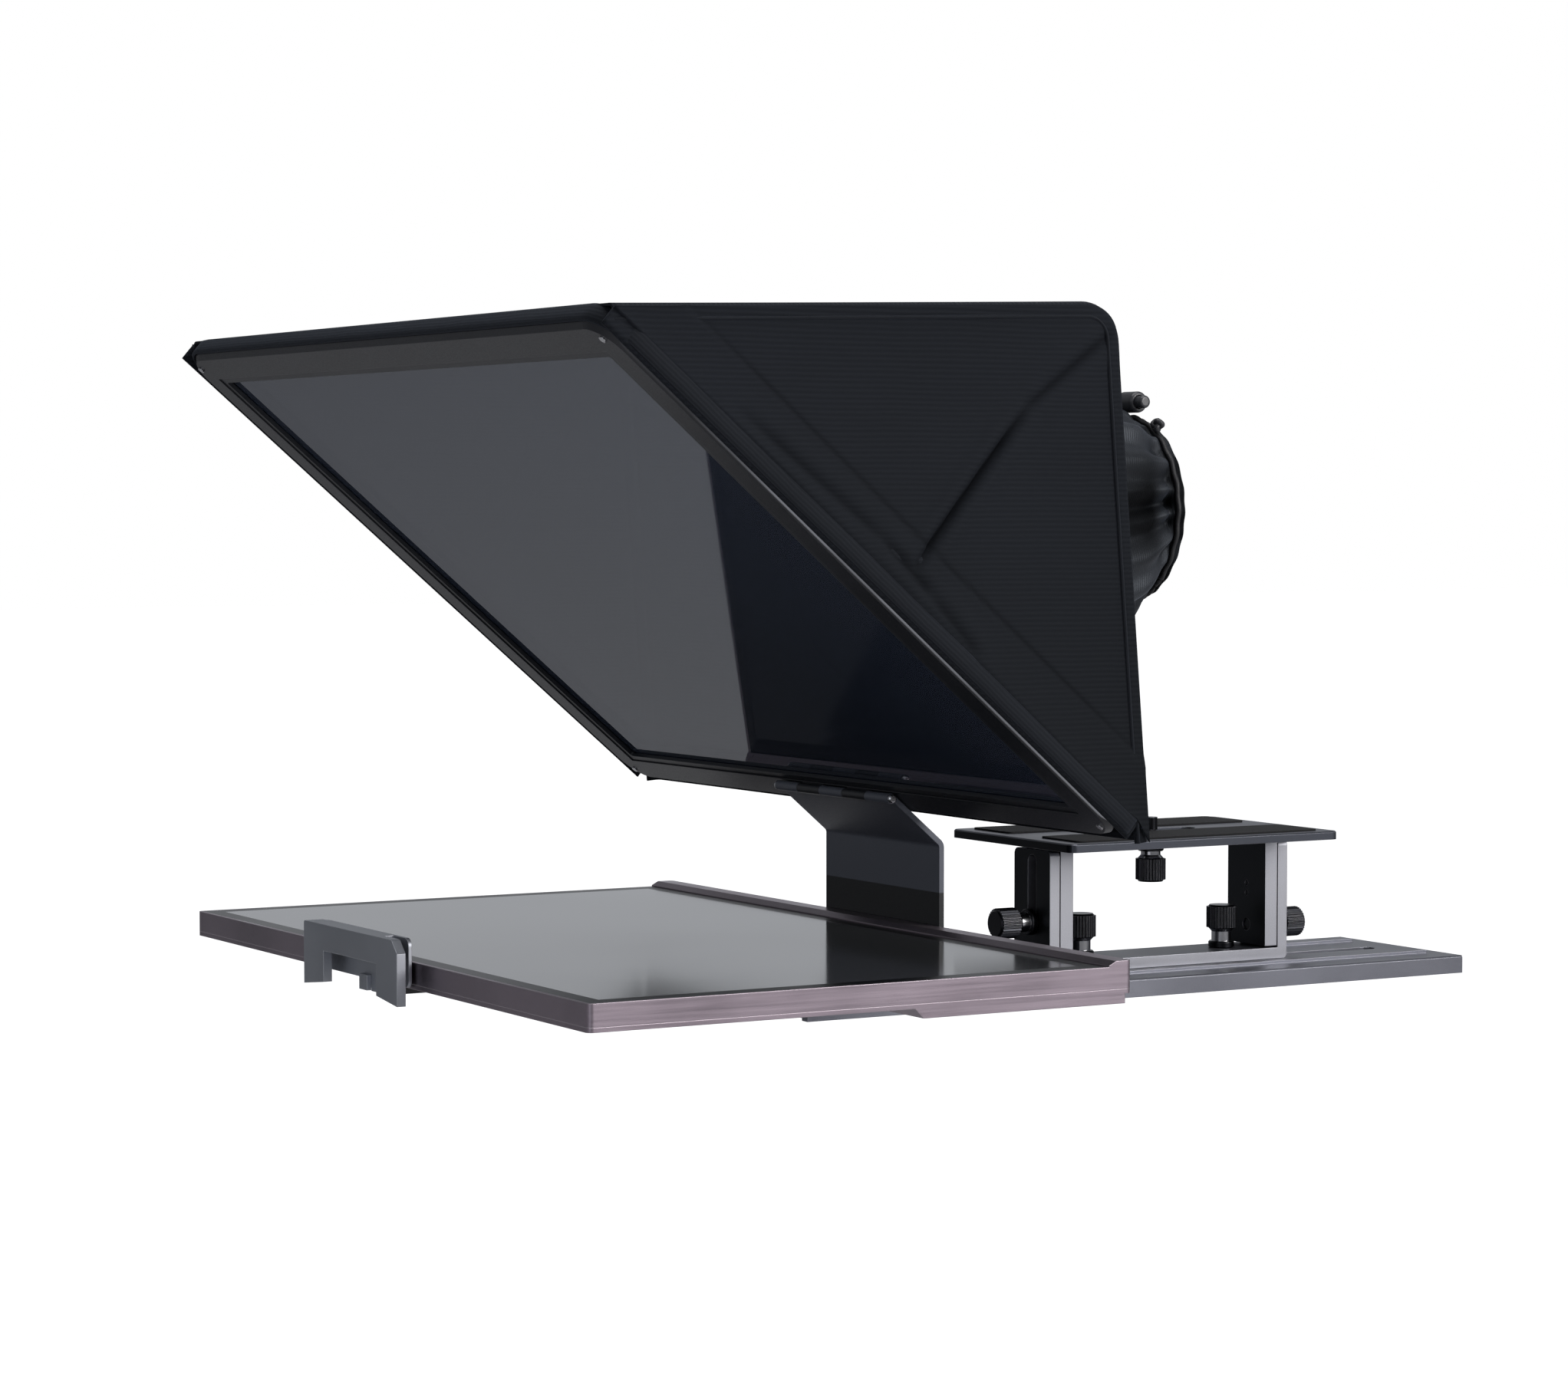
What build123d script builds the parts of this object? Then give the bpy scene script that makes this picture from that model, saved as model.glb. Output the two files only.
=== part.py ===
from build123d import *
from math import cos, sin, radians, pi
import os

# Teleprompter with a screen lying flat in front, a tilted beam-splitter glass above it
# and a cloth hood behind the glass, on a rail that also carries a height-adjustable
# camera platform. Millimetres. +X is the object's left-hand side seen from the talent,
# -Y faces the talent, +Y is the camera side, +Z is up. The origin is the mouth of the
# 3/8"-16 tripod thread in the underside of the rail.

os.makedirs("parts", exist_ok=True)

GAP = 0.3            # between pieces that move past each other
INCH = 25.4

# --- driving dimensions ---------------------------------------------------------------
rail_half = 48.0
rail_top = 8.5
rail_front = -190.0
rail_rear = 177.6

screen_half = 200.0
screen_front = -376.0
screen_rear = -123.5
screen_top = 36.4
slim_bottom = 25.1
hump_bottom = 21.0
hump_front = -229.0
hump_rear = screen_rear - 3.5
glass_rear = screen_front + 241.0
ridge_top = 38.8                   # raised strip behind the glass

mirror_angle = radians(40.4)
mirror_half = 211.5
mirror_length = 316.0
mirror_depth = 9.0
mirror_foot = (-136.2, 90.0)      # Y and Z of the frame's lower front edge
bezel = 18.5

hood_cloth = 1.3
hood_half = mirror_half + hood_cloth
hood_rear_foot = (-123.7, 88.8)
hood_rear_top = (-141.2, 309.3)
hood_roof_front_z = 303.0
hood_corner = 16.0

ring_y = 15.0
ring_z = 224.4
ring_radius = 42.5

frame_half = 15.0                  # half width of the risers
lower_front = -40.5
lower_rear = 96.5
lower_sheet = 5.5
upper_sheet = 7.0
platform_half = 51.0
platform_front = -53.0
platform_rear = 100.0
platform_bottom = 68.4
platform_top = 72.4

knob_radius = 7.2
stud_radius = 3.0                  # M6
camera_stud_radius = INCH / 8      # 1/4"-20
camera_shank_radius = 2.7          # the captive screw's relieved shank, under its thread
running = 0.06                     # radial play of a screw in its thread or bush


def write(piece, name):
    """Label a finished piece and export it as one STEP file."""
    piece.part.label = name
    export_step(piece.part, f"parts/{name}.step")


def tilted(down=0.0, back=0.0):
    """Plane of the mirror frame's front face: x across, y down the slope, z to the back."""
    y, z = mirror_foot
    return Plane(
        origin=(0, y + down * cos(mirror_angle) + back * sin(mirror_angle),
                z - down * sin(mirror_angle) + back * cos(mirror_angle)),
        x_dir=(1, 0, 0),
        z_dir=(0, sin(mirror_angle), cos(mirror_angle)),
    )


def tilted_yz(down, back):
    """Y and Z of a point given in the mirror frame's own slope coordinates."""
    origin = tilted(down, back).origin
    return origin.Y, origin.Z


def slab(x_low, x_high, y_low, y_high, z_low, z_high):
    """A block in the open part, given by its limits."""
    with Locations(((x_low + x_high) / 2, (y_low + y_high) / 2, (z_low + z_high) / 2)):
        Box(x_high - x_low, y_high - y_low, z_high - z_low)


# --- rail ------------------------------------------------------------------------------
rib_x = 29.0
rib_width = 5.0
rib_top = 10.0
rib_front = -112.0
rib_rear = rail_rear - 8.6
groove_x = 38.0                    # shallow grooves along the underside
groove_width = 10.0
groove_depth = 1.2
slot_half = 4.3
pocket_half = 7.3
pocket_low = 4.6
pocket_high = 6.6
thread_38 = 3.97                   # wall radius of a 3/8"-16 tapped hole
thread_14 = 2.55                   # wall radius of a 1/4"-20 tapped hole
insert_38 = 7.5
insert_14 = 5.0
insert_pitch = INCH

mount_x = 20.0                     # screws that hold the stack under the screen
mount_ys = (-172.0, -142.0)
m4 = 2.0

with BuildPart() as base_rail:
    with BuildSketch(Plane.XZ.offset(-rail_rear)):
        with Locations((0, rail_top / 2)):
            Rectangle(2 * rail_half, rail_top)
        with Locations((groove_x, 0), (-groove_x, 0)):
            Rectangle(groove_width, 2 * groove_depth, mode=Mode.SUBTRACT)
    extrude(amount=rail_rear - rail_front)
    chamfer(base_rail.edges().filter_by(Axis.Y).group_by(Axis.Z)[-1], 0.7)
    for side in (-1, 1):
        x = side * rib_x
        slab(x - rib_width / 2, x + rib_width / 2, rib_front, rib_rear, rail_top - 0.5, rib_top)
    with BuildSketch(Plane.XY.offset(pocket_high - 0.1)):
        with Locations((0, (rib_front + rib_rear) / 2)):
            SlotOverall(rib_rear - rib_front - 16, 2 * slot_half, rotation=90)
    extrude(amount=10, mode=Mode.SUBTRACT)
    with BuildSketch(Plane.XY.offset(pocket_low)):
        with Locations((0, (rib_front + rib_rear) / 2)):
            Rectangle(2 * pocket_half, rib_rear - rib_front - 24)
    extrude(amount=pocket_high - pocket_low, mode=Mode.SUBTRACT)
    with Locations((0, 0, 0)):
        Hole(insert_38, depth=2 * pocket_low)
    with Locations((0, insert_pitch, 0), (0, -insert_pitch, 0)):
        Hole(insert_14, depth=2 * pocket_low)
    with BuildSketch(Plane.XY.offset(2)):
        with Locations(*[(x, y) for x in (-mount_x, mount_x) for y in mount_ys]):
            Circle(m4)
    extrude(amount=rail_top, mode=Mode.SUBTRACT)
write(base_rail, "base_rail")

with BuildPart() as tripod_insert_large:
    with BuildSketch():
        Circle(insert_38)
        Circle(thread_38, mode=Mode.SUBTRACT)
    extrude(amount=pocket_low)
write(tripod_insert_large, "tripod_insert_large")

with BuildPart() as tripod_inserts_small:
    with BuildSketch():
        with Locations((0, insert_pitch), (0, -insert_pitch)):
            Circle(insert_14)
            Circle(thread_14, mode=Mode.SUBTRACT)
    extrude(amount=pocket_low)
write(tripod_inserts_small, "tripod_inserts_small")

# --- bracket that carries the mirror ----------------------------------------------------
sheet = 2.5
bracket_half = 49.5
hinge_down = -13.5                 # hinge axis, in the mirror frame's slope coordinates
hinge_back = -2.6
knuckle_radius = 2.3
pin_radius = 1.1
pin_head_radius = 2.0
pin_half = bracket_half + 2.0
flange_back = -0.4 - sheet / 2
bend = tilted_yz(20.5, flange_back)
foot_z = rail_top + sheet / 2
foot_front = -186.0
hinge_yz = tilted_yz(hinge_down, hinge_back)
bracket_knuckles = ((-49.5, -30.0), (-10.0, 10.0), (30.0, 49.5))
frame_knuckles = ((-29.7, -10.3), (10.3, 29.7))


def barrel(spans, radius, mode=Mode.ADD):
    """Round stretches on the hinge axis, one for each span of X."""
    for low, high in spans:
        with Locations(Location(((low + high) / 2, *hinge_yz), (0, 90, 0))):
            Cylinder(radius, high - low, mode=mode)


with BuildPart() as mirror_bracket:
    with BuildSketch(Plane.YZ.offset(-bracket_half)):
        with BuildLine() as bracket_path:
            FilletPolyline(
                (foot_front, foot_z), (bend[0], foot_z), bend,
                tilted_yz(hinge_down + 1.6, flange_back), radius=3.5,
            )
        trace(line_width=sheet)
    extrude(amount=2 * bracket_half)
    barrel(bracket_knuckles, knuckle_radius)
    barrel([(low - 0.3, high + 0.3) for low, high in frame_knuckles],
           knuckle_radius + 0.5, Mode.SUBTRACT)
    barrel(((-60, 60),), pin_radius, Mode.SUBTRACT)
    with BuildSketch(Plane.XY.offset(foot_z - sheet)):
        with Locations(*[(x, y) for x in (-mount_x, mount_x) for y in mount_ys]):
            Circle(m4)
    extrude(amount=2 * sheet, mode=Mode.SUBTRACT)
write(mirror_bracket, "mirror_bracket")

with BuildPart() as hinge_pin:
    barrel(((-bracket_half - 0.2, bracket_half + 0.2),), pin_radius)
    barrel(((-pin_half, -bracket_half), (bracket_half, pin_half)), pin_head_radius)
    chamfer(hinge_pin.edges().group_by(Axis.X)[-1], 0.6)
    chamfer(hinge_pin.edges().group_by(Axis.X)[0], 0.6)
write(hinge_pin, "hinge_pin")

# --- stack between rail and screen -------------------------------------------------------
plate_low = hump_bottom - 3.0
plate_half = 46.0
plate_front = -226.0
plate_rear = -131.0
vesa = 75.0
vesa_y = -178.0

with BuildPart() as mount_spacer:
    slab(-30, 30, foot_front, -128, rail_top + sheet, plate_low)
    with BuildSketch(Plane.XY.offset(rail_top)):
        with Locations(*[(x, y) for x in (-mount_x, mount_x) for y in mount_ys]):
            Circle(m4)
    extrude(amount=plate_low, mode=Mode.SUBTRACT)
    fillet(mount_spacer.edges().filter_by(Axis.Z).filter_by(GeomType.LINE), 3)
write(mount_spacer, "mount_spacer")

with BuildPart() as monitor_mount_plate:
    slab(-plate_half, plate_half, plate_front, plate_rear, plate_low, hump_bottom)
    fillet(monitor_mount_plate.edges().filter_by(Axis.Z), 5)
    with Locations(*[Location((x, y, hump_bottom)) for x in (-mount_x, mount_x) for y in mount_ys]):
        CounterSinkHole(m4, 4.0)
    with Locations((0, vesa_y, hump_bottom)):
        with GridLocations(vesa, vesa, 2, 2):
            Hole(m4)
write(monitor_mount_plate, "monitor_mount_plate")

with BuildPart() as mount_screws:
    for x in (-mount_x, mount_x):
        for y in mount_ys:
            with Locations((x, y, (hump_bottom + 2) / 2)):
                Cylinder(m4, hump_bottom - 2)
            with Locations((x, y, hump_bottom - 1)):
                Cone(2.0, 4.0, 2.0)
write(mount_screws, "mount_screws")

with BuildPart() as vesa_screws:
    with Locations((0, vesa_y, 0)):
        with GridLocations(vesa, vesa, 2, 2):
            with Locations((0, 0, (plate_low + 24) / 2)):
                Cylinder(m4, 24 - plate_low)
            with Locations((0, 0, plate_low - 1.1)):
                Cylinder(3.6, 2.2)
write(vesa_screws, "vesa_screws")

# --- support arm and spring clip at the front edge of the screen -------------------------
arm_half = 7.0
arm_low = 18.8
arm_sheet = 2.9
arm_front = -372.0
tongue_half = 4.0
tongue_low = 22.0
tongue_high = 24.8
tongue_rear = -322.0
clip_front = -387.0
clip_sheet = 1.5
clip_front_sheet = 4.0
clip_corner = 5.5                  # bevel at one top corner of the front plate
clip_window = 27.5                 # half width of the notch that shows the tongue
clip_window_top = 35.2
clip_half = 48.5
clip_foot = 19.2
clip_top = 46.6
inner_front = -378.7
pad_front = -377.2
spring_radius = 1.25
spring_wire = 0.3
spring_rear = -292.0

with BuildPart() as support_arm:
    with BuildSketch(Plane.YZ.offset(-arm_half)):
        with BuildLine():
            FilletPolyline(
                (arm_front, arm_low + arm_sheet / 2), (-242, arm_low + arm_sheet / 2),
                (-234, plate_low - arm_sheet / 2), (-188, plate_low - arm_sheet / 2), radius=3,
            )
        trace(line_width=arm_sheet)
    extrude(amount=2 * arm_half)
    slab(-1.4, 1.4, spring_rear, spring_rear + 2, arm_low + arm_sheet, tongue_high)
write(support_arm, "support_arm")

with BuildPart() as clip_guide:
    for side in (-1, 1):
        low, high = sorted((side * (tongue_half + GAP), side * arm_half))
        slab(low, high, -366, -326, arm_low + arm_sheet, tongue_high)
write(clip_guide, "clip_guide")

with BuildPart() as clip_jaw:
    with BuildSketch(Plane.XZ.offset(-clip_front - clip_front_sheet)):
        with BuildLine():
            Polyline(
                (-clip_half, clip_top), (clip_half - clip_corner, clip_top),
                (clip_half, clip_top - clip_corner), (clip_half, clip_foot),
                (clip_window, clip_foot + 2.5), (clip_window, clip_window_top),
                (-clip_window, clip_window_top), (-clip_window, clip_foot + 2.5),
                (-clip_half, clip_foot), close=True,
            )
        make_face()
    extrude(amount=clip_front_sheet)
    fillet(clip_jaw.edges().filter_by(Axis.Y).group_by(Axis.Z)[-1], 1.2)
    slab(-clip_half + 1, clip_window, clip_front + clip_front_sheet - 0.2, inner_front + 0.2,
         clip_top - clip_sheet, clip_top)
    slab(tongue_half + 0.1, clip_window - 1, inner_front, inner_front + clip_sheet,
         clip_foot + 1.5, slim_bottom + 2)
    with BuildSketch(Plane.XZ.offset(-inner_front - clip_sheet)):
        with Locations((-2.5, (clip_top + slim_bottom + 0.6) / 2)):
            RectangleRounded(89, clip_top - slim_bottom - 0.6, 3.5)
    extrude(amount=clip_sheet)
write(clip_jaw, "clip_jaw")

with BuildPart() as clip_tongue:
    slab(-tongue_half, tongue_half, inner_front, tongue_rear, tongue_low, tongue_high)
    slab(-tongue_half, tongue_half, inner_front - 2.0, inner_front, tongue_low - 1.0, 27.6)
    slab(-1.2, 1.2, tongue_rear, tongue_rear + 2, tongue_low, tongue_high)
write(clip_tongue, "clip_tongue")

with BuildPart() as clip_pad:
    slab(-36, 36, pad_front, screen_front - 0.2, 26.5, 35.5)
    fillet(clip_pad.edges().filter_by(Axis.Y), 2)
write(clip_pad, "clip_pad")

with BuildPart() as clip_spring:
    spring_start = (0, spring_rear - spring_wire - 0.1, (tongue_low + tongue_high) / 2)
    spring_length = spring_rear - tongue_rear - 2.0 - 2 * spring_wire - 0.2
    with BuildLine():
        coil = Helix(
            pitch=1.6, height=spring_length, radius=spring_radius - spring_wire,
            center=spring_start, direction=(0, -1, 0),
        )
    with BuildSketch(Plane(origin=coil @ 0, z_dir=coil % 0)):
        Circle(spring_wire)
    sweep(is_frenet=True)
write(clip_spring, "clip_spring")

# --- screen ------------------------------------------------------------------------------
wall = 2.0
button_z = 30.2
button_xs = {"power_button": -184.0, "menu_up_button": -172.0, "menu_down_button": -160.0}
button_radius = 2.4
button_face = screen_rear + 1.0
jack_x = -120.0
jack_radius = 3.0
hdmi_x = -96.0

cover_sheet = 1.8
inside_half = screen_half - wall
split_z = slim_bottom + wall       # the back cover meets the frame here
hump_slope = 4.0
port_depth = 12.0
hdmi_opening = (15.0, 5.6)
jack_opening = 4.0

with BuildPart() as monitor_back_cover:
    slab(-screen_half, screen_half, screen_front, screen_rear, slim_bottom, split_z)
    fillet(monitor_back_cover.edges().filter_by(Axis.Z), 2.5)
    with BuildSketch(Plane.YZ.offset(-screen_half)):
        with BuildLine():
            Polyline(
                (hump_front, slim_bottom), (hump_front + hump_slope, hump_bottom), (hump_rear, hump_bottom),
                (hump_rear, slim_bottom + 1), (hump_front, slim_bottom + 1), close=True,
            )
        make_face()
    extrude(amount=2 * screen_half)
    with BuildSketch(Plane.XY.offset(hump_bottom + cover_sheet)):
        with Locations((0, (hump_front + hump_slope + 1 + hump_rear - wall) / 2)):
            Rectangle(2 * inside_half, hump_rear - wall - hump_front - hump_slope - 1)
    extrude(amount=split_z, mode=Mode.SUBTRACT)
    with Locations((0, vesa_y, hump_bottom)):
        with GridLocations(vesa, vesa, 2, 2):
            Hole(m4, depth=3)
    with BuildSketch(Plane.XZ.offset(-hump_rear + 4)):
        with Locations((jack_x, button_z)):
            Circle(jack_opening)
    extrude(amount=-port_depth, mode=Mode.SUBTRACT)
write(monitor_back_cover, "monitor_back_cover")

with BuildPart() as monitor_housing:
    slab(-screen_half, screen_half, screen_front, screen_rear, split_z, ridge_top)
    fillet(monitor_housing.edges().filter_by(Axis.Z), 2.5)
    with BuildSketch(Plane.YZ.offset(-screen_half - 1)):
        with BuildLine():
            Polyline(
                (screen_front - 1, screen_top), (glass_rear, screen_top),
                (glass_rear, screen_top + 0.6), (glass_rear + 3.5, ridge_top),
                (glass_rear + 3.5, ridge_top + 1), (screen_front - 1, ridge_top + 1), close=True,
            )
        make_face()
    extrude(amount=2 * screen_half + 2, mode=Mode.SUBTRACT)
    with BuildSketch(Plane.XY.offset(split_z)):
        with Locations((0, (screen_front + wall + glass_rear) / 2)):
            Rectangle(2 * inside_half, glass_rear - screen_front - wall)
    extrude(amount=screen_top, mode=Mode.SUBTRACT)
    with BuildSketch(Plane.XY.offset(split_z)):
        with Locations((0, (glass_rear + hump_rear - wall) / 2 - 1)):
            Rectangle(2 * inside_half, hump_rear - wall - glass_rear + 2)
    extrude(amount=screen_top - wall - split_z, mode=Mode.SUBTRACT)
    with BuildSketch(Plane.XZ.offset(-hump_rear + 4)):
        with Locations(*[(x, button_z) for x in button_xs.values()]):
            Circle(button_radius + GAP)
        with Locations((jack_x, button_z)):
            Circle(jack_opening)
        with Locations((hdmi_x, button_z)):
            Rectangle(*hdmi_opening)
    extrude(amount=-port_depth, mode=Mode.SUBTRACT)
write(monitor_housing, "monitor_housing")

glass_sheet = 1.8
inner_half = screen_half - wall - GAP / 2
inner_front_y = screen_front + wall + GAP / 2
inner_rear_y = glass_rear - GAP / 2
panel_top = screen_top - glass_sheet
panel_low = panel_top - 2.4
panel_half = 193.0

with BuildPart() as monitor_glass:
    slab(-inner_half, inner_half, inner_front_y, inner_rear_y, panel_top, screen_top)
write(monitor_glass, "monitor_glass")

with BuildPart() as lcd_panel:
    slab(-panel_half, panel_half, inner_front_y + 4, inner_rear_y - 6, panel_low, panel_top)
write(lcd_panel, "lcd_panel")

with BuildPart() as backlight:
    slab(-panel_half, panel_half, inner_front_y + 4, inner_rear_y - 6, split_z, panel_low)
write(backlight, "backlight")

board_low = 24.2
board_sheet = 1.6
chip_height = 1.1

with BuildPart() as controller_board:
    slab(-140, 40, -222, -146, board_low, board_low + board_sheet)
    for x, y, size in ((-70, -185, 16), (-20, -180, 10), (10, -205, 8), (-110, -170, 8)):
        slab(x - size / 2, x + size / 2, y - size / 2, y + size / 2,
             board_low + board_sheet - 0.1, board_low + board_sheet + chip_height)
write(controller_board, "controller_board")

with BuildPart() as button_board:
    slab(-190, -154, -137, -137 + board_sheet, 25, 34)
write(button_board, "button_board")

port_rear = -140.0                 # inner end of the jack and the port

with BuildPart() as dc_jack:
    slab(jack_x - 4.5, jack_x + 4.5, port_rear, hump_rear - wall, 25.9, 34.2)
    with BuildSketch(Plane.XZ.offset(-hump_rear)):
        with Locations((jack_x, button_z)):
            Circle(3.9)
    extrude(amount=3)
    with BuildSketch(Plane.XZ.offset(-hump_rear)):
        with Locations((jack_x, button_z)):
            Circle(jack_radius)
            Circle(1.05, mode=Mode.SUBTRACT)
    extrude(amount=10, mode=Mode.SUBTRACT)
write(dc_jack, "dc_jack")

with BuildPart() as hdmi_port:
    slab(hdmi_x - 7.4, hdmi_x + 7.4, port_rear, hump_rear - 0.4, 27.5, 32.9)
    with Locations((hdmi_x, hump_rear - 4.4, button_z)):
        Box(13.8, 8.0, 4.4, mode=Mode.SUBTRACT)
    slab(hdmi_x - 5.5, hdmi_x + 5.5, -137, hump_rear - 2.5, 30.0, 31.0)
write(hdmi_port, "hdmi_port")

for button_name, button_x in button_xs.items():
    with BuildPart() as monitor_button:
        with Locations(Location((button_x, (button_face - 132) / 2, button_z), (90, 0, 0))):
            Cylinder(button_radius, button_face + 132)
        fillet(monitor_button.edges().group_by(Axis.Y)[-1], 0.5)
    write(monitor_button, button_name)

# --- mirror frame and glass -----------------------------------------------------------------
pocket_gap = 3.4                   # the frame's own opening stands this far outside the trim's
trim_gap = 0.3
trim_front = 0.6
glass_back = 2.8
mirror_sheet = 3.0
frame_corner = 16.0
half_length = mirror_length / 2


def ring_sizes(inset):
    """Width and length of a rectangle set in by this much from the frame's outline."""
    return 2 * (mirror_half - inset), mirror_length - 2 * inset


with BuildPart() as mirror_frame:
    with BuildSketch(tilted(-half_length)):
        RectangleRounded(*ring_sizes(0), frame_corner)
        Rectangle(*ring_sizes(bezel - pocket_gap), mode=Mode.SUBTRACT)
    extrude(amount=mirror_depth)
    to_back = Axis((0, 0, 0), (0, sin(mirror_angle), cos(mirror_angle)))
    front_face = mirror_frame.faces().sort_by(to_back)[0]
    chamfer(front_face.outer_wire().edges(), 2.2)
write(mirror_frame, "mirror_frame")

with BuildPart() as glass_retainer:
    with BuildSketch(tilted(-half_length, trim_front)):
        Rectangle(*ring_sizes(bezel - pocket_gap + trim_gap))
        RectangleRounded(*ring_sizes(bezel), 1.5, mode=Mode.SUBTRACT)
    extrude(amount=glass_back - 0.3 - trim_front)
write(glass_retainer, "glass_retainer")

with BuildPart() as glass_gasket:
    with BuildSketch(tilted(-half_length, glass_back - 0.3)):
        Rectangle(*ring_sizes(bezel - pocket_gap + 2 * trim_gap))
        Rectangle(*ring_sizes(bezel - 1.0), mode=Mode.SUBTRACT)
    extrude(amount=0.3)
write(glass_gasket, "glass_gasket")

with BuildPart() as beam_splitter_glass:
    with BuildSketch(tilted(-half_length, glass_back)):
        Rectangle(*ring_sizes(bezel - pocket_gap + 2 * trim_gap))
    extrude(amount=mirror_sheet)
write(beam_splitter_glass, "beam_splitter_glass")

with BuildPart() as glass_clamp:
    with BuildSketch(tilted(-half_length, glass_back + mirror_sheet)):
        Rectangle(*ring_sizes(bezel - pocket_gap + trim_gap))
        Rectangle(*ring_sizes(bezel - 1.0), mode=Mode.SUBTRACT)
    extrude(amount=mirror_depth - glass_back - mirror_sheet - 0.1)
write(glass_clamp, "glass_clamp")

with BuildPart() as frame_screws:
    with BuildSketch(tilted(0, -0.7)):
        with Locations(
            *[(x, y) for x in (-mirror_half + 8, mirror_half - 8) for y in (-8, 8 - mirror_length)]
        ):
            Circle(1.6)
    extrude(amount=0.7)
write(frame_screws, "frame_screws")

with BuildPart() as hinge_knuckles:
    barrel(frame_knuckles, knuckle_radius)
    for low, high in frame_knuckles:
        with BuildSketch(tilted(hinge_down, hinge_back)):
            with Locations(((low + high) / 2, 0)):
                Rectangle(high - low, knuckle_radius)
        extrude(amount=-hinge_back)
    barrel(((-60, 60),), pin_radius + running, Mode.SUBTRACT)
write(hinge_knuckles, "hinge_knuckles")

# --- hood -----------------------------------------------------------------------------------
roof_front_y = -371.2
rear_lean = (hood_rear_top[0] - hood_rear_foot[0]) / (hood_rear_top[1] - hood_rear_foot[1])
corner_cut = 0.3 * hood_corner + 1.5   # where a side's outline crosses the rounded corner
sleeve_base_z = 212.0
sleeve_base_radius = 70.0
sleeve_mid_y = -12.0
sleeve_mid_z = 221.5
sleeve_mid_radius = 55.5


def rear_y(z):
    """Y of the hood's rear panel at height z."""
    return hood_rear_foot[0] + rear_lean * (z - hood_rear_foot[1])


sleeve_base = Plane(
    origin=(0, rear_y(sleeve_base_z) + hood_cloth / 2 + 0.05, sleeve_base_z),
    x_dir=(1, 0, 0), z_dir=(0, -1, rear_lean),
)

with BuildPart() as hood_wrap:
    with BuildSketch(Plane.YZ.offset(-hood_half)):
        with BuildLine():
            FilletPolyline(
                (roof_front_y, hood_roof_front_z), hood_rear_top, hood_rear_foot,
                radius=hood_corner,
            )
        trace(line_width=hood_cloth)
    extrude(amount=2 * hood_half)
    with BuildSketch(sleeve_base.offset(10)):
        Circle(sleeve_base_radius - hood_cloth)
    extrude(amount=-20, mode=Mode.SUBTRACT)
write(hood_wrap, "hood_wrap")

for name, side in (("hood_side_left", 1), ("hood_side_right", -1)):
    with BuildPart() as hood_side:
        with BuildSketch(Plane.YZ.offset(side * (mirror_half + 0.05))):
            with BuildLine():
                Polyline(
                    tilted_yz(0, 0.4), tilted_yz(-mirror_length, 0.4),
                    tilted_yz(-mirror_length, mirror_depth - 0.6),
                    (roof_front_y + 6, hood_roof_front_z - 1.0),
                    (hood_rear_top[0] - hood_corner, hood_rear_top[1] - 1.2),
                    (hood_rear_top[0] - corner_cut, hood_rear_top[1] - corner_cut),
                    (rear_y(hood_rear_top[1] - hood_corner) - 0.9, hood_rear_top[1] - hood_corner),
                    (hood_rear_foot[0] - 0.9, hood_rear_foot[1]), close=True,
                )
            make_face()
        extrude(amount=side * (hood_cloth - 0.1))
    write(hood_side, name)

def upright(y, z):
    """Plane across the lens axis, for one section of the sleeve."""
    return Plane((0, y, z), x_dir=(1, 0, 0), z_dir=(0, -1, 0))


collar_front = ring_y - 8.0        # the drawn hem is straight from here to its end
shoulder_z = 216.5
sleeve_parts = {
    "lens_sleeve_root": (
        (sleeve_base, sleeve_base_radius), (upright(-75.0, shoulder_z), 66.0),
    ),
    "lens_sleeve": (
        (upright(-75.0, shoulder_z), 66.0), (upright(sleeve_mid_y, sleeve_mid_z), sleeve_mid_radius),
    ),
    "lens_sleeve_hem": (
        (upright(sleeve_mid_y, sleeve_mid_z), sleeve_mid_radius),
        (upright(collar_front - 4.0, ring_z), ring_radius + 1.5),
        (upright(collar_front, ring_z), ring_radius),
        (upright(ring_y, ring_z), ring_radius),
    ),
}
for name, sections in sleeve_parts.items():
    with BuildPart() as sleeve_cloth:
        for inset, mode in ((0.0, Mode.ADD), (hood_cloth, Mode.SUBTRACT)):
            for section, radius in sections:
                with BuildSketch(section):
                    Circle(radius - inset)
            loft(ruled=True, mode=mode)
    write(sleeve_cloth, name)

hoop_wire = 1.2
hoop_half = mirror_half - 3.0
hoop_inset = 4.0
hoop_plane = Plane(
    origin=(0, rear_y(ring_z) - hoop_inset, ring_z), x_dir=(1, 0, 0), z_dir=(0, -1, rear_lean),
)
hoop_top = hood_rear_top[1] - hood_corner - ring_z
hoop_low = hood_rear_foot[1] + 16.0 - ring_z

with BuildPart() as rear_hoop:
    with BuildSketch(hoop_plane):
        with Locations((0, (hoop_top + hoop_low) / 2)):
            RectangleRounded(2 * hoop_half, hoop_top - hoop_low, 14)
            RectangleRounded(2 * (hoop_half - 2 * hoop_wire), hoop_top - hoop_low - 4 * hoop_wire,
                             14 - 2 * hoop_wire, mode=Mode.SUBTRACT)
    extrude(amount=2 * hoop_wire)
write(rear_hoop, "rear_hoop")

stay_radius = 1.4
stay_x = mirror_half - stay_radius - 0.2
stay_top = (hood_rear_top[0] - 12.0, hood_rear_top[1] - 14.0)
stay_foot = tilted_yz(-mirror_length * 0.42, mirror_depth + 18.0)

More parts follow.
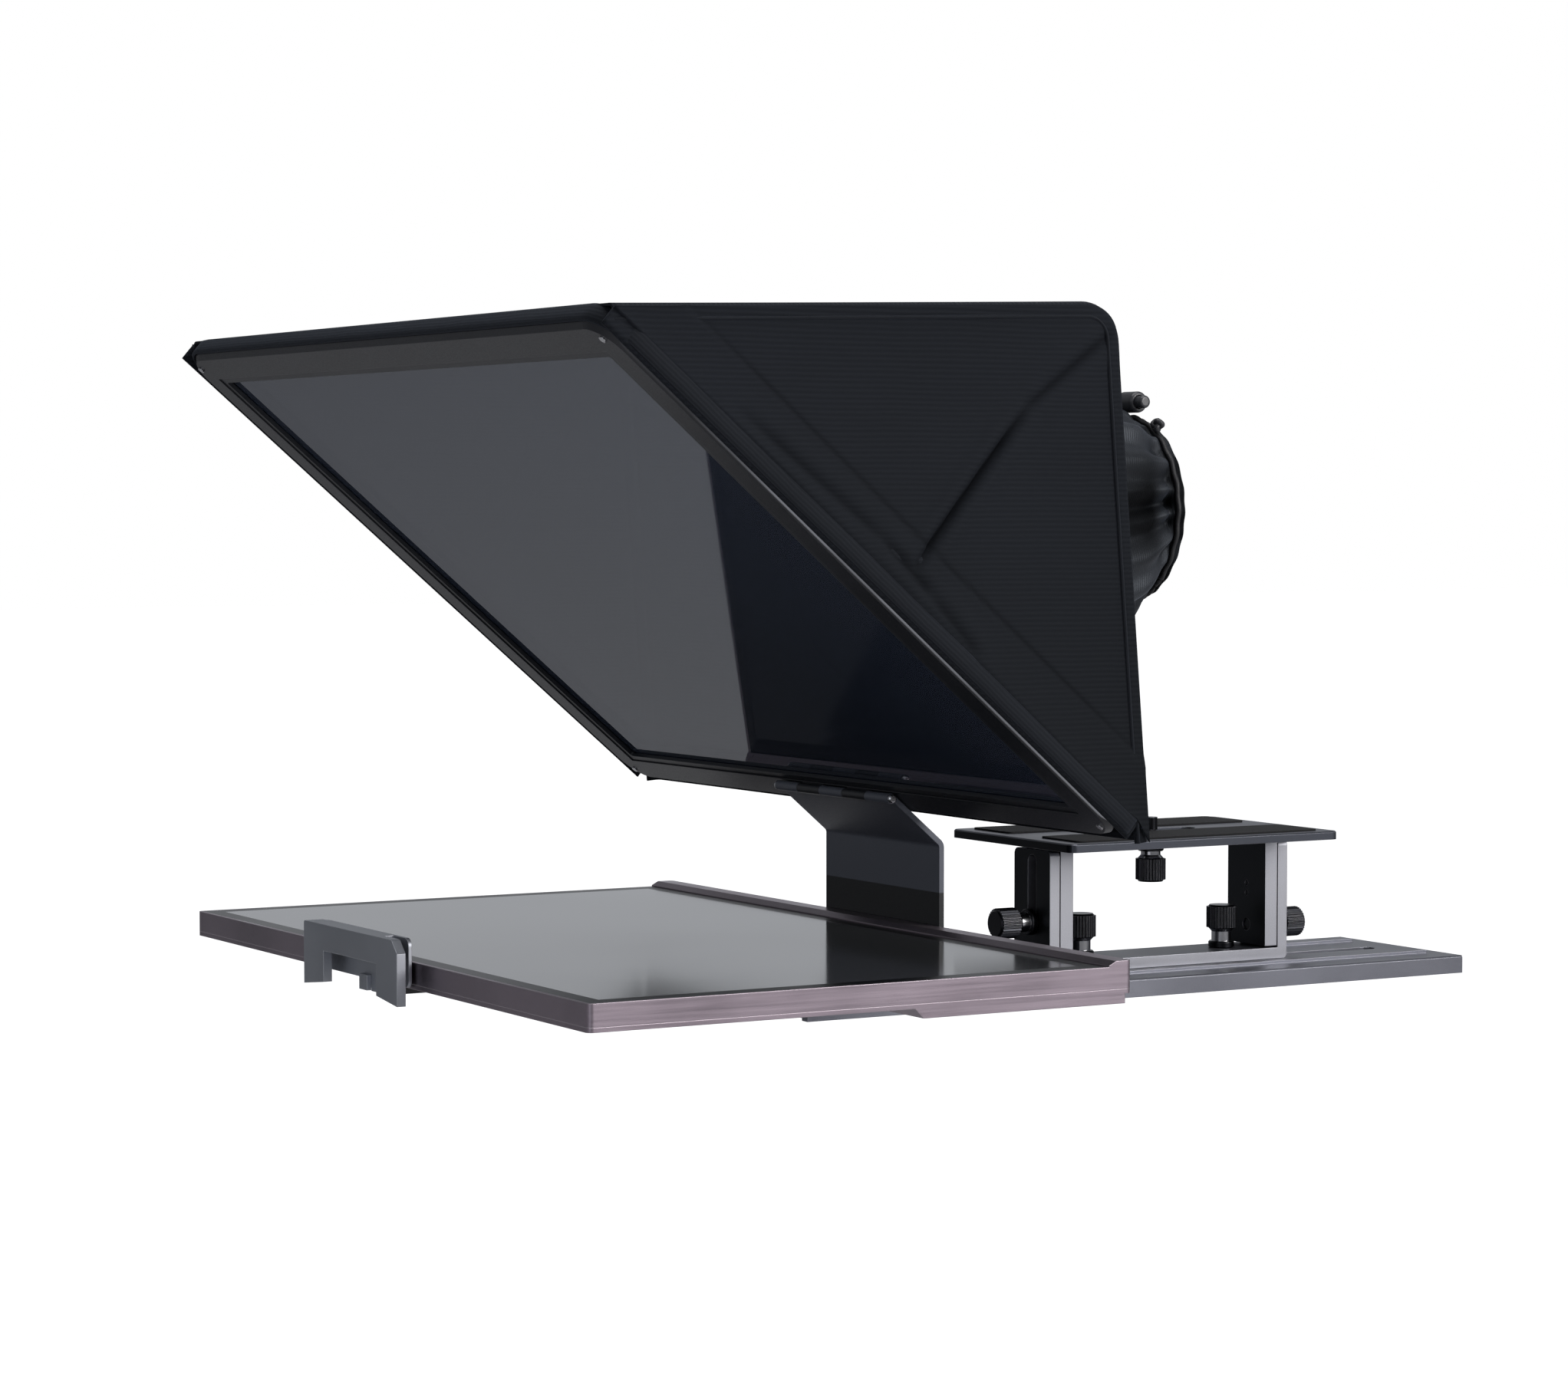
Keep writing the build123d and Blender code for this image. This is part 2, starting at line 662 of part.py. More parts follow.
with BuildPart() as side_stays:
    for side in (-1, 1):
        with BuildLine() as stay_line:
            Line((side * stay_x, *stay_foot), (side * stay_x, *stay_top))
        with BuildSketch(Plane(origin=stay_line.line @ 0, z_dir=stay_line.line % 0)):
            Circle(stay_radius)
        sweep(path=stay_line.line)
write(side_stays, "side_stays")

cord_radius = 1.3
cord_y = ring_y - 4.0
cord_ring = ring_radius + cord_radius + 0.2
knot_radius = 3.8                  # where the two ends of the drawstring are tied
knot_angle = radians(34)

with BuildPart() as drawstring:
    with Locations(Location((0, cord_y, ring_z), (90, 0, 0))):
        Torus(cord_ring, cord_radius)
    knot_ring = ring_radius + knot_radius + 1.2
    with Locations((knot_ring * sin(knot_angle), cord_y, ring_z + knot_ring * cos(knot_angle))):
        Sphere(knot_radius)
write(drawstring, "drawstring")

lock_radius = 5.0
lock_z = ring_z + cord_ring + cord_radius + lock_radius
lock_low = -1.0
lock_high = 12.0

with BuildPart() as cord_lock:
    with Locations(Location(((lock_low + lock_high) / 2, cord_y, lock_z), (0, 90, 0))):
        Cylinder(lock_radius, lock_high - lock_low)
    fillet(cord_lock.edges().filter_by(GeomType.CIRCLE), 1.6)
    with Locations(Location((lock_high - 3, cord_y, lock_z), (0, 90, 0))):
        Cylinder(3.3, 7.0, mode=Mode.SUBTRACT)
write(cord_lock, "cord_lock")

with BuildPart() as cord_lock_button:
    with Locations(Location((lock_high + 1.5, cord_y, lock_z), (0, 90, 0))):
        Cylinder(3.0, 7.0)
    fillet(cord_lock_button.edges().group_by(Axis.X)[-1], 1.2)
write(cord_lock_button, "cord_lock_button")

# --- carriage that slides on the rail --------------------------------------------------------
clamp_ys = {"clamp_knob_front": -13.0, "clamp_knob_rear": 68.6}
carriage_low = rail_top + 0.2
carriage_floor = 14.0
lower_top = 66.0
slide_slot_half = 3.5
height_screw_z = {"height_knob_front": 32.0, "height_knob_rear": 24.3}
slide_slot_length = 35.0

with BuildPart() as lower_riser:
    slab(-frame_half, frame_half, lower_front, lower_rear, carriage_low, carriage_floor)
    for low in (lower_front, lower_rear - lower_sheet):
        slab(-frame_half, frame_half, low, low + lower_sheet, carriage_low, lower_top)
    fillet(lower_riser.edges().filter_by(Axis.X).group_by(Axis.Z)[0], 2.0)
    fillet(lower_riser.edges().filter_by(Axis.Y).group_by(Axis.Z)[-1], 3.0)
    with Locations(*[(0, y, carriage_floor) for y in clamp_ys.values()]):
        Hole(stud_radius + 0.3)
    for z, low in zip(height_screw_z.values(), (lower_front, lower_rear - lower_sheet)):
        slot_mid = z + slide_slot_length / 2 - slide_slot_half
        with BuildSketch(Plane.XZ.offset(-low - lower_sheet - 1)):
            with Locations((0, slot_mid)):
                SlotOverall(slide_slot_length, 2 * slide_slot_half, rotation=90)
        extrude(amount=lower_sheet + 2, mode=Mode.SUBTRACT)
write(lower_riser, "lower_riser")

with BuildPart() as rail_nuts:
    for y in clamp_ys.values():
        slab(-6.8, 6.8, y - 8, y + 8, pocket_low + 0.1, pocket_high - 0.1)
        slab(-4.0, 4.0, y - 8, y + 8, pocket_high - 0.1, rail_top - 0.2)
        with Locations((0, y, rail_top)):
            Hole(stud_radius + running)
write(rail_nuts, "rail_nuts")

# --- camera platform ---------------------------------------------------------------------------
screw_y = 27.0
screw_travel = 20.0
screw_slot_half = 4.9
leg_low = 15.0
upper_front = lower_front + lower_sheet + 0.5
upper_rear = lower_rear - lower_sheet - 0.5

with BuildPart() as camera_platform:
    slab(-platform_half, platform_half, platform_front, platform_rear, platform_bottom, platform_top)
    fillet(camera_platform.edges().filter_by(Axis.Z), 4)
    chamfer(camera_platform.faces().sort_by(Axis.Z)[-1].outer_wire().edges(), 0.6)
    for low in (upper_front, upper_rear - upper_sheet):
        slab(-frame_half, frame_half, low, low + upper_sheet, leg_low, platform_bottom + 0.5)
    with BuildSketch(Plane.XY.offset(platform_bottom - 1)):
        with Locations((0, screw_y)):
            SlotOverall(2 * (screw_travel + screw_slot_half), 2 * screw_slot_half, rotation=90)
    extrude(amount=10, mode=Mode.SUBTRACT)
    for z, low in zip(height_screw_z.values(), (upper_front, upper_rear - upper_sheet)):
        with BuildSketch(Plane.XZ.offset(-low - upper_sheet - 0.2)):
            with Locations((0, z)):
                Circle(stud_radius + running)
        extrude(amount=upper_sheet + 0.4, mode=Mode.SUBTRACT)
    with BuildSketch(Plane.XZ.offset(-upper_rear + upper_sheet - 2)):
        with Locations((0, 39.6), (0, 44.4)):
            Circle(1.3)
    extrude(amount=4, mode=Mode.SUBTRACT)
write(camera_platform, "camera_platform")

with BuildPart() as platform_pads:
    for side in (-1, 1):
        low, high = sorted((side * 13.0, side * 45.0))
        slab(low, high, platform_front + 8, platform_rear - 8, platform_top, platform_top + 0.8)
    fillet(platform_pads.edges().filter_by(Axis.Z), 3)
write(platform_pads, "platform_pads")

# --- knobs -----------------------------------------------------------------------------------------
knurls = 30
knurl_depth = 0.55
head_length = 10.0
neck_length = 6.5
short_neck = 3.6                   # of the knobs that stand at the rear and under the platform
neck_radius = 4.7
collar_length = 3.2
collar_radius = 6.2


def screw_knob(seat, stud, stud_length, neck=neck_length, tip=0.0, tip_length=0.0):
    """Knurled head, waist, collar, stud and a thicker threaded tip; the seat's z points to the head."""
    with BuildPart() as knob:
        with BuildSketch(seat.offset(collar_length + neck)):
            with BuildLine():
                Polyline(
                    *[
                        (radius * cos(pi * k / knurls), radius * sin(pi * k / knurls))
                        for k in range(2 * knurls)
                        for radius in (knob_radius - knurl_depth * (k % 2),)
                    ],
                    close=True,
                )
            make_face()
        extrude(amount=head_length)
        with BuildSketch(seat.offset(collar_length + neck + head_length)):
            Circle(knob_radius - 0.8)
        extrude(amount=0.9, taper=35)
        with BuildSketch(seat.offset(collar_length + neck)):
            Circle(knob_radius - 0.8)
        extrude(amount=-2.4, taper=42)
        with BuildSketch(seat.offset(collar_length)):
            Circle(neck_radius)
        extrude(amount=neck)
        with BuildSketch(seat):
            Circle(collar_radius)
        extrude(amount=collar_length)
        rims = knob.edges().filter_by(GeomType.CIRCLE)
        chamfer(rims.filter_by(lambda rim: abs(rim.radius - collar_radius) < 0.01), 0.5)
        with BuildSketch(seat):
            Circle(stud)
        extrude(amount=-stud_length)
        if tip_length:
            with BuildSketch(seat.offset(-stud_length)):
                Circle(tip)
            extrude(amount=-tip_length)
    return knob


for name, y in clamp_ys.items():
    seat = Plane(origin=(0, y, carriage_floor), x_dir=(1, 0, 0), z_dir=(0, 0, 1))
    write(screw_knob(seat, stud_radius, carriage_floor - pocket_low - 0.5), name)

height_seats = {"height_knob_front": (lower_front, -1), "height_knob_rear": (lower_rear, 1)}
for name, (y, out) in height_seats.items():
    seat = Plane(
        origin=(0, y + out * GAP, height_screw_z[name]), x_dir=(1, 0, 0), z_dir=(0, out, 0),
    )
    neck = neck_length if out < 0 else short_neck
    write(screw_knob(seat, stud_radius, lower_sheet + upper_sheet, neck), name)

bush_sheet = 2.4
bush_low = platform_bottom - GAP - bush_sheet
with BuildPart() as screw_bush:
    with Locations((0, screw_y, bush_low + bush_sheet / 2)):
        Cylinder(7.0, bush_sheet)
    with Locations((0, screw_y, bush_low + 2.8)):
        Cylinder(4.5, 5.6)
    with Locations((0, screw_y, bush_low)):
        Hole(camera_stud_radius + running)
write(screw_bush, "screw_bush")

camera_seat_z = bush_low - 0.2
camera_thread_length = 6.0         # stands above the platform
camera_seat = Plane(origin=(0, screw_y, camera_seat_z), x_dir=(1, 0, 0), z_dir=(0, 0, -1))
camera_screw = screw_knob(
    camera_seat, camera_shank_radius, platform_top - camera_seat_z, short_neck,
    camera_stud_radius, camera_thread_length,
)
write(camera_screw, "camera_screw")
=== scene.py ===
import math

import bmesh
import bpy
import numpy as np
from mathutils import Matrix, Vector


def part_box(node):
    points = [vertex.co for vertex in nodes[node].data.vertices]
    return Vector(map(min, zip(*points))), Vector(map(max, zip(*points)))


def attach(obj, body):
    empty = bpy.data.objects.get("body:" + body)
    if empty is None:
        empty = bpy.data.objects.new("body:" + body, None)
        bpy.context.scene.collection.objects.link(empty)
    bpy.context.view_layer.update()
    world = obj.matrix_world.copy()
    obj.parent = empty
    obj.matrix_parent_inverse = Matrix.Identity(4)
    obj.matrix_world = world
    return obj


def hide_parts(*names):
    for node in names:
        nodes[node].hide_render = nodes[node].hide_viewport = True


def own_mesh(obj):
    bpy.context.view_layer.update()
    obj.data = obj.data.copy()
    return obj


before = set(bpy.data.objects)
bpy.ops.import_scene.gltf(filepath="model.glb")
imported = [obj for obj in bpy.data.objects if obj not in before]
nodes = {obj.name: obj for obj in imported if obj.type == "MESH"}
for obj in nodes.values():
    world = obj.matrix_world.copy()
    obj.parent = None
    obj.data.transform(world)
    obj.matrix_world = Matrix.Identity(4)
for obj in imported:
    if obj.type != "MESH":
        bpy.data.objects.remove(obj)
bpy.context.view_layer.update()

# ---------------------------------------------------------------- camera
scene = bpy.context.scene
scene.view_settings.view_transform = "Standard"
scene.view_settings.look = "None"

camera = bpy.data.objects.new("camera", bpy.data.cameras.new("camera"))
scene.collection.objects.link(camera)
camera.location = (1.5464, -1.0667, 0.2279)
camera.rotation_mode = "QUATERNION"
camera.rotation_quaternion = Vector((-0.8650, 0.4992, -0.0487)).to_track_quat("-Z", "Y")
camera.data.lens = 91.36
camera.data.sensor_width = 36.0
camera.data.clip_start = 0.01
camera.data.clip_end = 60
scene.camera = camera


class Graph:
    """A small helper to build a material's nodes."""

    def __init__(self, name):
        self.material = bpy.data.materials.new(name)
        self.material.use_nodes = True
        self.tree = self.material.node_tree
        self.tree.nodes.clear()
        self.out = self.tree.nodes.new("ShaderNodeOutputMaterial")

    def node(self, kind, **values):
        n = self.tree.nodes.new("ShaderNode" + kind)
        for key, value in values.items():
            setattr(n, key, value)
        return n

    def link(self, a, b):
        self.tree.links.new(a, b)

    def put(self, socket, value):
        if isinstance(value, bpy.types.NodeSocket):
            self.link(value, socket)
        else:
            socket.default_value = value

    def principled(self, **values):
        n = self.node("BsdfPrincipled")
        for key, value in values.items():
            self.put(n.inputs[key.replace("_", " ")], value)
        self.link(n.outputs[0], self.out.inputs[0])
        return n

    def math(self, kind, a, b=0.0):
        n = self.node("Math", operation=kind)
        for socket, value in zip(n.inputs, (a, b)):
            self.put(socket, value)
        return n.outputs[0]

    def product(self, a, b):
        return self.math("MULTIPLY", a, b)

    def axes(self, kind="Object"):
        """The x, y and z of the object's own coordinates, or of its normal."""
        n = self.node("SeparateXYZ")
        self.link(self.node("TexCoord").outputs[kind], n.inputs[0])
        return n.outputs

    def mix(self, factor, a, b):
        n = self.node("Mix", data_type="RGBA")
        self.put(n.inputs[0], factor)
        self.put(n.inputs[6], a)
        self.put(n.inputs[7], b)
        return n.outputs[2]

    def remap(self, value, low, high, to_low, to_high):
        n = self.node("MapRange")
        for socket, v in zip(n.inputs, (value, low, high, to_low, to_high)):
            self.put(socket, v)
        return n.outputs[0]

    def object_point(self, scale=(1.0, 1.0, 1.0)):
        n = self.node("Mapping")
        n.inputs["Scale"].default_value = scale
        self.link(self.node("TexCoord").outputs["Object"], n.inputs[0])
        return n.outputs[0]

    def noise(self, scale, stretch=(1.0, 1.0, 1.0), detail=3.0, roughness=0.5):
        n = self.node("TexNoise")
        self.link(self.object_point(stretch), n.inputs["Vector"])
        n.inputs["Scale"].default_value = scale
        n.inputs["Detail"].default_value = detail
        n.inputs["Roughness"].default_value = roughness
        return n.outputs[0]

    def bump(self, height, distance, strength=1.0, normal=None):
        n = self.node("Bump")
        n.inputs["Strength"].default_value = strength
        n.inputs["Distance"].default_value = distance
        self.link(height, n.inputs["Height"])
        if normal is not None:
            self.link(normal, n.inputs["Normal"])
        return n.outputs[0]

    def edges(self, radius):
        """Rounded normals near edges, and how much each point turns with them."""
        bevel = self.node("Bevel", samples=6)
        bevel.inputs["Radius"].default_value = radius
        dot = self.node("VectorMath", operation="DOT_PRODUCT")
        self.link(bevel.outputs[0], dot.inputs[0])
        self.link(self.node("NewGeometry").outputs["Normal"], dot.inputs[1])
        return bevel.outputs[0], self.remap(dot.outputs["Value"], 0.985, 0.80, 0.0, 1.0)


def shade(colour, factor):
    return tuple(min(1.0, c * factor) for c in colour[:3]) + (1.0,)


def metal(name, colour, rough=0.42, grain=2600.0, grain_height=0.00002, brushed=None, edge_colour=None):
    """Machined metal: fine blasted or brushed grain, uneven finish and worn, lighter edges."""
    g = Graph(name)
    stretch = (1, 0.02, 1) if brushed == "y" else (1, 1, 1)
    fine = g.noise(grain, stretch, detail=2.0)
    broad = g.noise(14.0, detail=3.0)
    normal, worn = g.edges(0.0004)
    base = g.mix(g.remap(broad, 0.35, 0.65, 0.0, 1.0), shade(colour, 0.9), shade(colour, 1.1))
    base = g.mix(g.remap(fine, 0.3, 0.7, 0.0, 0.16), base, shade(colour, 1.6))
    if edge_colour is not None:
        base = g.mix(g.product(worn, 0.85), base, shade(edge_colour, 1.0))
    roughness = g.math("ADD", g.remap(broad, 0.3, 0.7, rough - 0.04, rough + 0.05),
                       g.remap(fine, 0.3, 0.7, -0.05, 0.05))
    g.principled(Base_Color=base, Metallic=1.0, Roughness=roughness,
                 Normal=g.bump(fine, grain_height, 0.6, normal))
    return g.material


FACES_ALONG = 0.7
PLATE_DEPTH = 0.0045


def riser_metal(name, plate_top=None):
    """Black anodised plate work with a painted highlight on its ±X faces and painted light, a grey, on its
    up- and down-facing faces.
    """
    g = Graph(name)
    fine = g.noise(2600.0, detail=2.0)
    broad = g.noise(14.0, detail=3.0)
    normal, worn = g.edges(0.0004)
    facing = g.axes("Normal")
    # painted highlight: faces that face ±X take a bright metal colour, mixed in below
    sideways = g.math("GREATER_THAN", g.math("ABSOLUTE", facing[0]), FACES_ALONG)
    level = g.math("GREATER_THAN", g.math("ABSOLUTE", facing[2]), FACES_ALONG)
    base = g.mix(g.remap(broad, 0.35, 0.65, 0.0, 1.0), (0.012, 0.014, 0.017, 1), (0.020, 0.022, 0.027, 1))
    # painted light: faces that face up or down take a grey in place of the black
    base = g.mix(level, base, (0.15, 0.155, 0.18, 1))
    painted_highlight = g.mix(g.remap(fine, 0.3, 0.7, 0.0, 1.0), (0.36, 0.365, 0.40, 1), (0.44, 0.445, 0.48, 1))
    # on the top plate's side faces the painted highlight gives way to a dark grey
    if plate_top is not None:
        in_plate = g.math("GREATER_THAN", g.axes()[2], plate_top - PLATE_DEPTH)
        painted_highlight = g.mix(in_plate, painted_highlight, (0.065, 0.07, 0.085, 1))
    base = g.mix(sideways, base, painted_highlight)
    base = g.mix(g.product(worn, 0.7), base, (0.45, 0.45, 0.49, 1))
    g.principled(Base_Color=base, Metallic=0.9, Roughness=g.remap(broad, 0.3, 0.7, 0.36, 0.46),
                 Normal=g.bump(fine, 0.00002, 0.6, normal))
    return g.material


BAND_FOOT = 0.0535


def bracket_material():
    """Satin black sheet with a lighter, worn band under its bend."""
    g = Graph("satin black bracket")
    fine = g.noise(1800.0, detail=3.0)
    broad = g.noise(11.0, detail=4.0)
    normal, worn = g.edges(0.0004)
    band = g.remap(g.axes()[2], BAND_FOOT, BAND_FOOT + 0.0005, 0.0, 1.0)
    base = g.mix(g.remap(broad, 0.35, 0.65, 0.0, 1.0),
                 (0.0020, 0.0030, 0.0042, 1), (0.0035, 0.0045, 0.0060, 1))
    base = g.mix(band, base, (0.100, 0.108, 0.135, 1))
    base = g.mix(g.product(worn, 0.5), base, (0.12, 0.12, 0.13, 1))
    g.principled(Base_Color=base, Roughness=g.remap(fine, 0.35, 0.65, 0.36, 0.46),
                 Normal=g.bump(fine, 0.00003, 0.6, normal))
    return g.material


def coat(name, colour, rough=0.45, grain=1800.0, grain_height=0.00003, edge=0.0004, edge_colour=None,
         level=0.5):
    """Painted metal, moulded plastic or rubber with a fine texture."""
    g = Graph(name)
    fine = g.noise(grain, detail=3.0)
    broad = g.noise(11.0, detail=4.0)
    normal, worn = g.edges(edge)
    base = g.mix(g.remap(broad, 0.35, 0.65, 0.0, 1.0), shade(colour, 0.85), shade(colour, 1.18))
    if edge_colour is not None:
        patchy = g.remap(g.noise(160.0, detail=2.0), 0.35, 0.6, 0.4, 1.0)
        base = g.mix(g.product(g.product(worn, 0.6), patchy), base, shade(edge_colour, 1.0))
    roughness = g.remap(g.math("ADD", g.product(broad, 0.5), g.product(fine, 0.5)),
                        0.35, 0.65, rough - 0.06, rough + 0.06)
    n = g.principled(Base_Color=base, Roughness=roughness, Normal=g.bump(fine, grain_height, 0.7, normal))
    n.inputs["Specular IOR Level"].default_value = level
    return g.material


def fabric(name, colour, pitch, sheen=0.25, rough=0.78, rib=0.00018, painted_shade_span=None, gloss=0.30):
    """Ribbed, tightly woven cloth, in metres of its own surface, read from the piece's UV map.

    painted_shade_span is the stretch of height over which painted shade lifts, the cloth dark below it and at
    its full colour above, and the piece's fold_shade attribute paints shade into its folds and creases, with
    less sheen and gloss there.
    """
    g = Graph(name)
    uv = g.node("SeparateXYZ")
    g.link(g.node("UVMap", uv_map="cloth").outputs[0], uv.inputs[0])
    u, v = uv.outputs[0], uv.outputs[1]
    wobble = g.product(g.noise(30.0, detail=2.0), 0.0012)
    across = g.math("SINE", g.product(g.math("ADD", v, wobble), 2 * math.pi / pitch))
    thread = g.math("SINE", g.product(u, 2 * math.pi / (pitch * 0.32)))
    fine = g.math("SINE", g.product(v, 2 * math.pi / (pitch * 0.25)))
    weave = g.product(thread, fine)
    height = g.math("ADD", g.remap(across, -1, 1, 0.0, 1.0), g.product(weave, 0.22))
    slub = g.noise(900.0)
    height = g.math("ADD", height, g.product(slub, 0.35))
    cloudy = g.noise(9.0, detail=4.0, roughness=0.6)
    base = g.mix(g.remap(cloudy, 0.35, 0.65, 0.0, 1.0), shade(colour, 0.82), shade(colour, 1.22))
    base = g.mix(g.remap(across, -1, 1, 0.0, 0.55), base, shade(colour, 0.45))
    # painted shade: the cloth darker towards the bottom, over the given span of heights
    if painted_shade_span is not None:
        base = g.mix(g.remap(g.axes()[2], painted_shade_span[0], painted_shade_span[1], 0.0, 1.0), shade(colour, 0.25), base)
    # painted shade in folds and creases, from the piece's fold_shade attribute, which also lowers sheen and
    # gloss there
    shadow = g.node("Attribute", attribute_name="fold_shade").outputs["Fac"]
    base = g.mix(shadow, base, shade(colour, 0.12))
    n = g.principled(Base_Color=base, Roughness=rough, Sheen_Weight=g.remap(shadow, 0.0, 1.0, sheen, 0.0),
                     Sheen_Roughness=0.45, Sheen_Tint=(0.65, 0.76, 1.0, 1.0), Normal=g.bump(height, rib, 0.8))
    g.link(g.remap(shadow, 0.0, 1.0, gloss, gloss * 0.15), n.inputs["Specular IOR Level"])
    n.inputs["Specular Tint"].default_value = (0.80, 0.88, 1.0, 1.0)
    return g.material


CHAMFER_START = 0.2098
# heights over which the chamfer's painted highlight goes from faint, above, to full, below
HIGHLIGHT_FADE_HEIGHTS = (0.262, 0.232)


def frame_material():
    """Satin black frame with a painted highlight, bright and partly metallic, on its outer front chamfer."""
    g = Graph("black frame with painted chamfer highlight")
    fine = g.noise(1800.0, detail=3.0)
    broad = g.noise(11.0, detail=4.0)
    normal, worn = g.edges(0.0004)
    base = g.mix(g.remap(broad, 0.35, 0.65, 0.0, 1.0), (0.009, 0.010, 0.013, 1), (0.014, 0.015, 0.020, 1))
    base = g.mix(g.product(worn, 0.5), base, (0.10, 0.10, 0.11, 1))
    # painted highlight on the outer front chamfer: faces turned part way to ±X, beyond CHAMFER_START
    across = g.math("ABSOLUTE", g.axes("Normal")[0])
    sideways = g.remap(across, 0.60, 0.66, 0.0, 1.0)
    not_side = g.remap(across, 0.80, 0.76, 0.0, 1.0)
    at = g.axes()
    outer = g.remap(g.math("ABSOLUTE", at[0]), CHAMFER_START, CHAMFER_START + 0.0004, 0.0, 1.0)
    # the painted highlight is full below 0.232 m and fades to a tenth above 0.262 m, broken up by noise
    painted_highlight_fade = g.product(g.remap(g.noise(35.0, detail=3.0), 0.3, 0.6, 0.65, 1.0),
                       g.remap(at[2], *HIGHLIGHT_FADE_HEIGHTS, 0.10, 1.0))
    painted_highlight = g.product(g.product(sideways, not_side), g.product(outer, painted_highlight_fade))
    base = g.mix(painted_highlight, base, (0.42, 0.43, 0.46, 1))
    g.principled(Base_Color=base, Roughness=g.remap(fine, 0.35, 0.65, 0.30, 0.40),
                 Metallic=g.product(painted_highlight, 0.6), Normal=g.bump(fine, 0.00003, 0.6, normal))
    return g.material


def knob_material(name, axis, head, neck, out):
    """Black oxide knob whose neck, just under its head, is bare steel.

    head is where the head starts along the axis, and out is the sign of the head's side.
    """
    g = Graph(name)
    under = g.product(g.math("SUBTRACT", g.axes()[axis], head), -out)
    waist = g.product(g.math("GREATER_THAN", under, 0.0004), g.math("LESS_THAN", under, neck))
    fine = g.noise(2400.0, detail=2.0)
    normal, worn = g.edges(0.0003)
    base = g.mix(g.noise(60.0, detail=2.0), (0.018, 0.019, 0.022, 1), (0.032, 0.033, 0.037, 1))
    base = g.mix(g.product(worn, 0.75), base, (0.50, 0.50, 0.53, 1))
    base = g.mix(waist, base, (0.62, 0.62, 0.64, 1))
    g.principled(Base_Color=base, Metallic=1.0, Roughness=g.remap(waist, 0.0, 1.0, 0.30, 0.16),
                 Normal=g.bump(fine, 0.00001, 0.5, normal))
    return g.material


anodised = metal("anodised grey", (0.20, 0.205, 0.235), rough=0.40, edge_colour=(0.62, 0.62, 0.66))
clip_metal = metal("anodised grey clip", (0.37, 0.385, 0.42), rough=0.46, edge_colour=(0.66, 0.66, 0.70))
black_metal = coat("satin black metal", (0.010, 0.011, 0.013), rough=0.36, edge_colour=(0.14, 0.14, 0.15))
frame_black = frame_material()
steel = metal("bright steel", (0.56, 0.56, 0.58), rough=0.24, grain=900.0, grain_height=0.00001)
housing = metal("brushed warm housing", (0.31, 0.262, 0.30), rough=0.36, brushed="y", grain=700.0,
                edge_colour=(0.62, 0.57, 0.60))
board = coat("solder mask", (0.010, 0.070, 0.035), rough=0.35)
plastic = coat("black plastic", (0.014, 0.014, 0.016), rough=0.5)
port = metal("nickel port", (0.5, 0.5, 0.5), rough=0.3)
rubber = coat("soft rubber", (0.012, 0.012, 0.013), rough=0.72, level=0.25)
rod = coat("glass-fibre rod", (0.02, 0.02, 0.022), rough=0.45)


BORDER_X, BORDER_Y = 0.008, 0.0075


def screen_material():
    """The flat screen: a matte black printed border and a grey, slightly diffusing picture area."""
    low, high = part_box("monitor_glass")
    mid = (low + high) / 2
    g = Graph("screen")
    at = g.axes()
    x = g.math("ABSOLUTE", g.math("SUBTRACT", at[0], mid.x))
    y = g.math("ABSOLUTE", g.math("SUBTRACT", at[1], mid.y))
    inside = g.product(g.math("LESS_THAN", x, (high.x - low.x) / 2 - BORDER_X),
                       g.math("LESS_THAN", y, (high.y - low.y) / 2 - BORDER_Y))
    haze = g.noise(7.0, detail=2.0)
    base = g.mix(inside, (0.004, 0.004, 0.005, 1), (0.030, 0.031, 0.034, 1))
    smears = g.remap(haze, 0.35, 0.65, -0.015, 0.02)
    roughness = g.math("ADD", g.remap(inside, 0.0, 1.0, 0.30, 0.10), smears)
    fine = g.noise(5200.0, detail=1.0)
    n = g.principled(Base_Color=base, Roughness=roughness, Normal=g.bump(fine, 0.000004, 0.3))
    g.link(g.remap(inside, 0.0, 1.0, 0.10, 0.40), n.inputs["Specular IOR Level"])
    return g.material


def mirror_material():
    """Half-reflecting glass over the dark hood."""
    g = Graph("beam splitter glass")
    haze = g.noise(5.0, detail=2.0)
    n = g.principled(Base_Color=g.mix(haze, (0.028, 0.037, 0.060, 1), (0.034, 0.043, 0.068, 1)),
                     Roughness=g.remap(haze, 0.3, 0.7, 0.012, 0.03))
    n.inputs["Alpha"].default_value = 0.80
    n.inputs["IOR"].default_value = 2.1
    n.inputs["Specular Tint"].default_value = (0.82, 0.88, 1.0, 1.0)
    return g.material


def give(material, *names):
    for name in names:
        data = nodes[name].data
        data.materials.clear()
        data.materials.append(material)


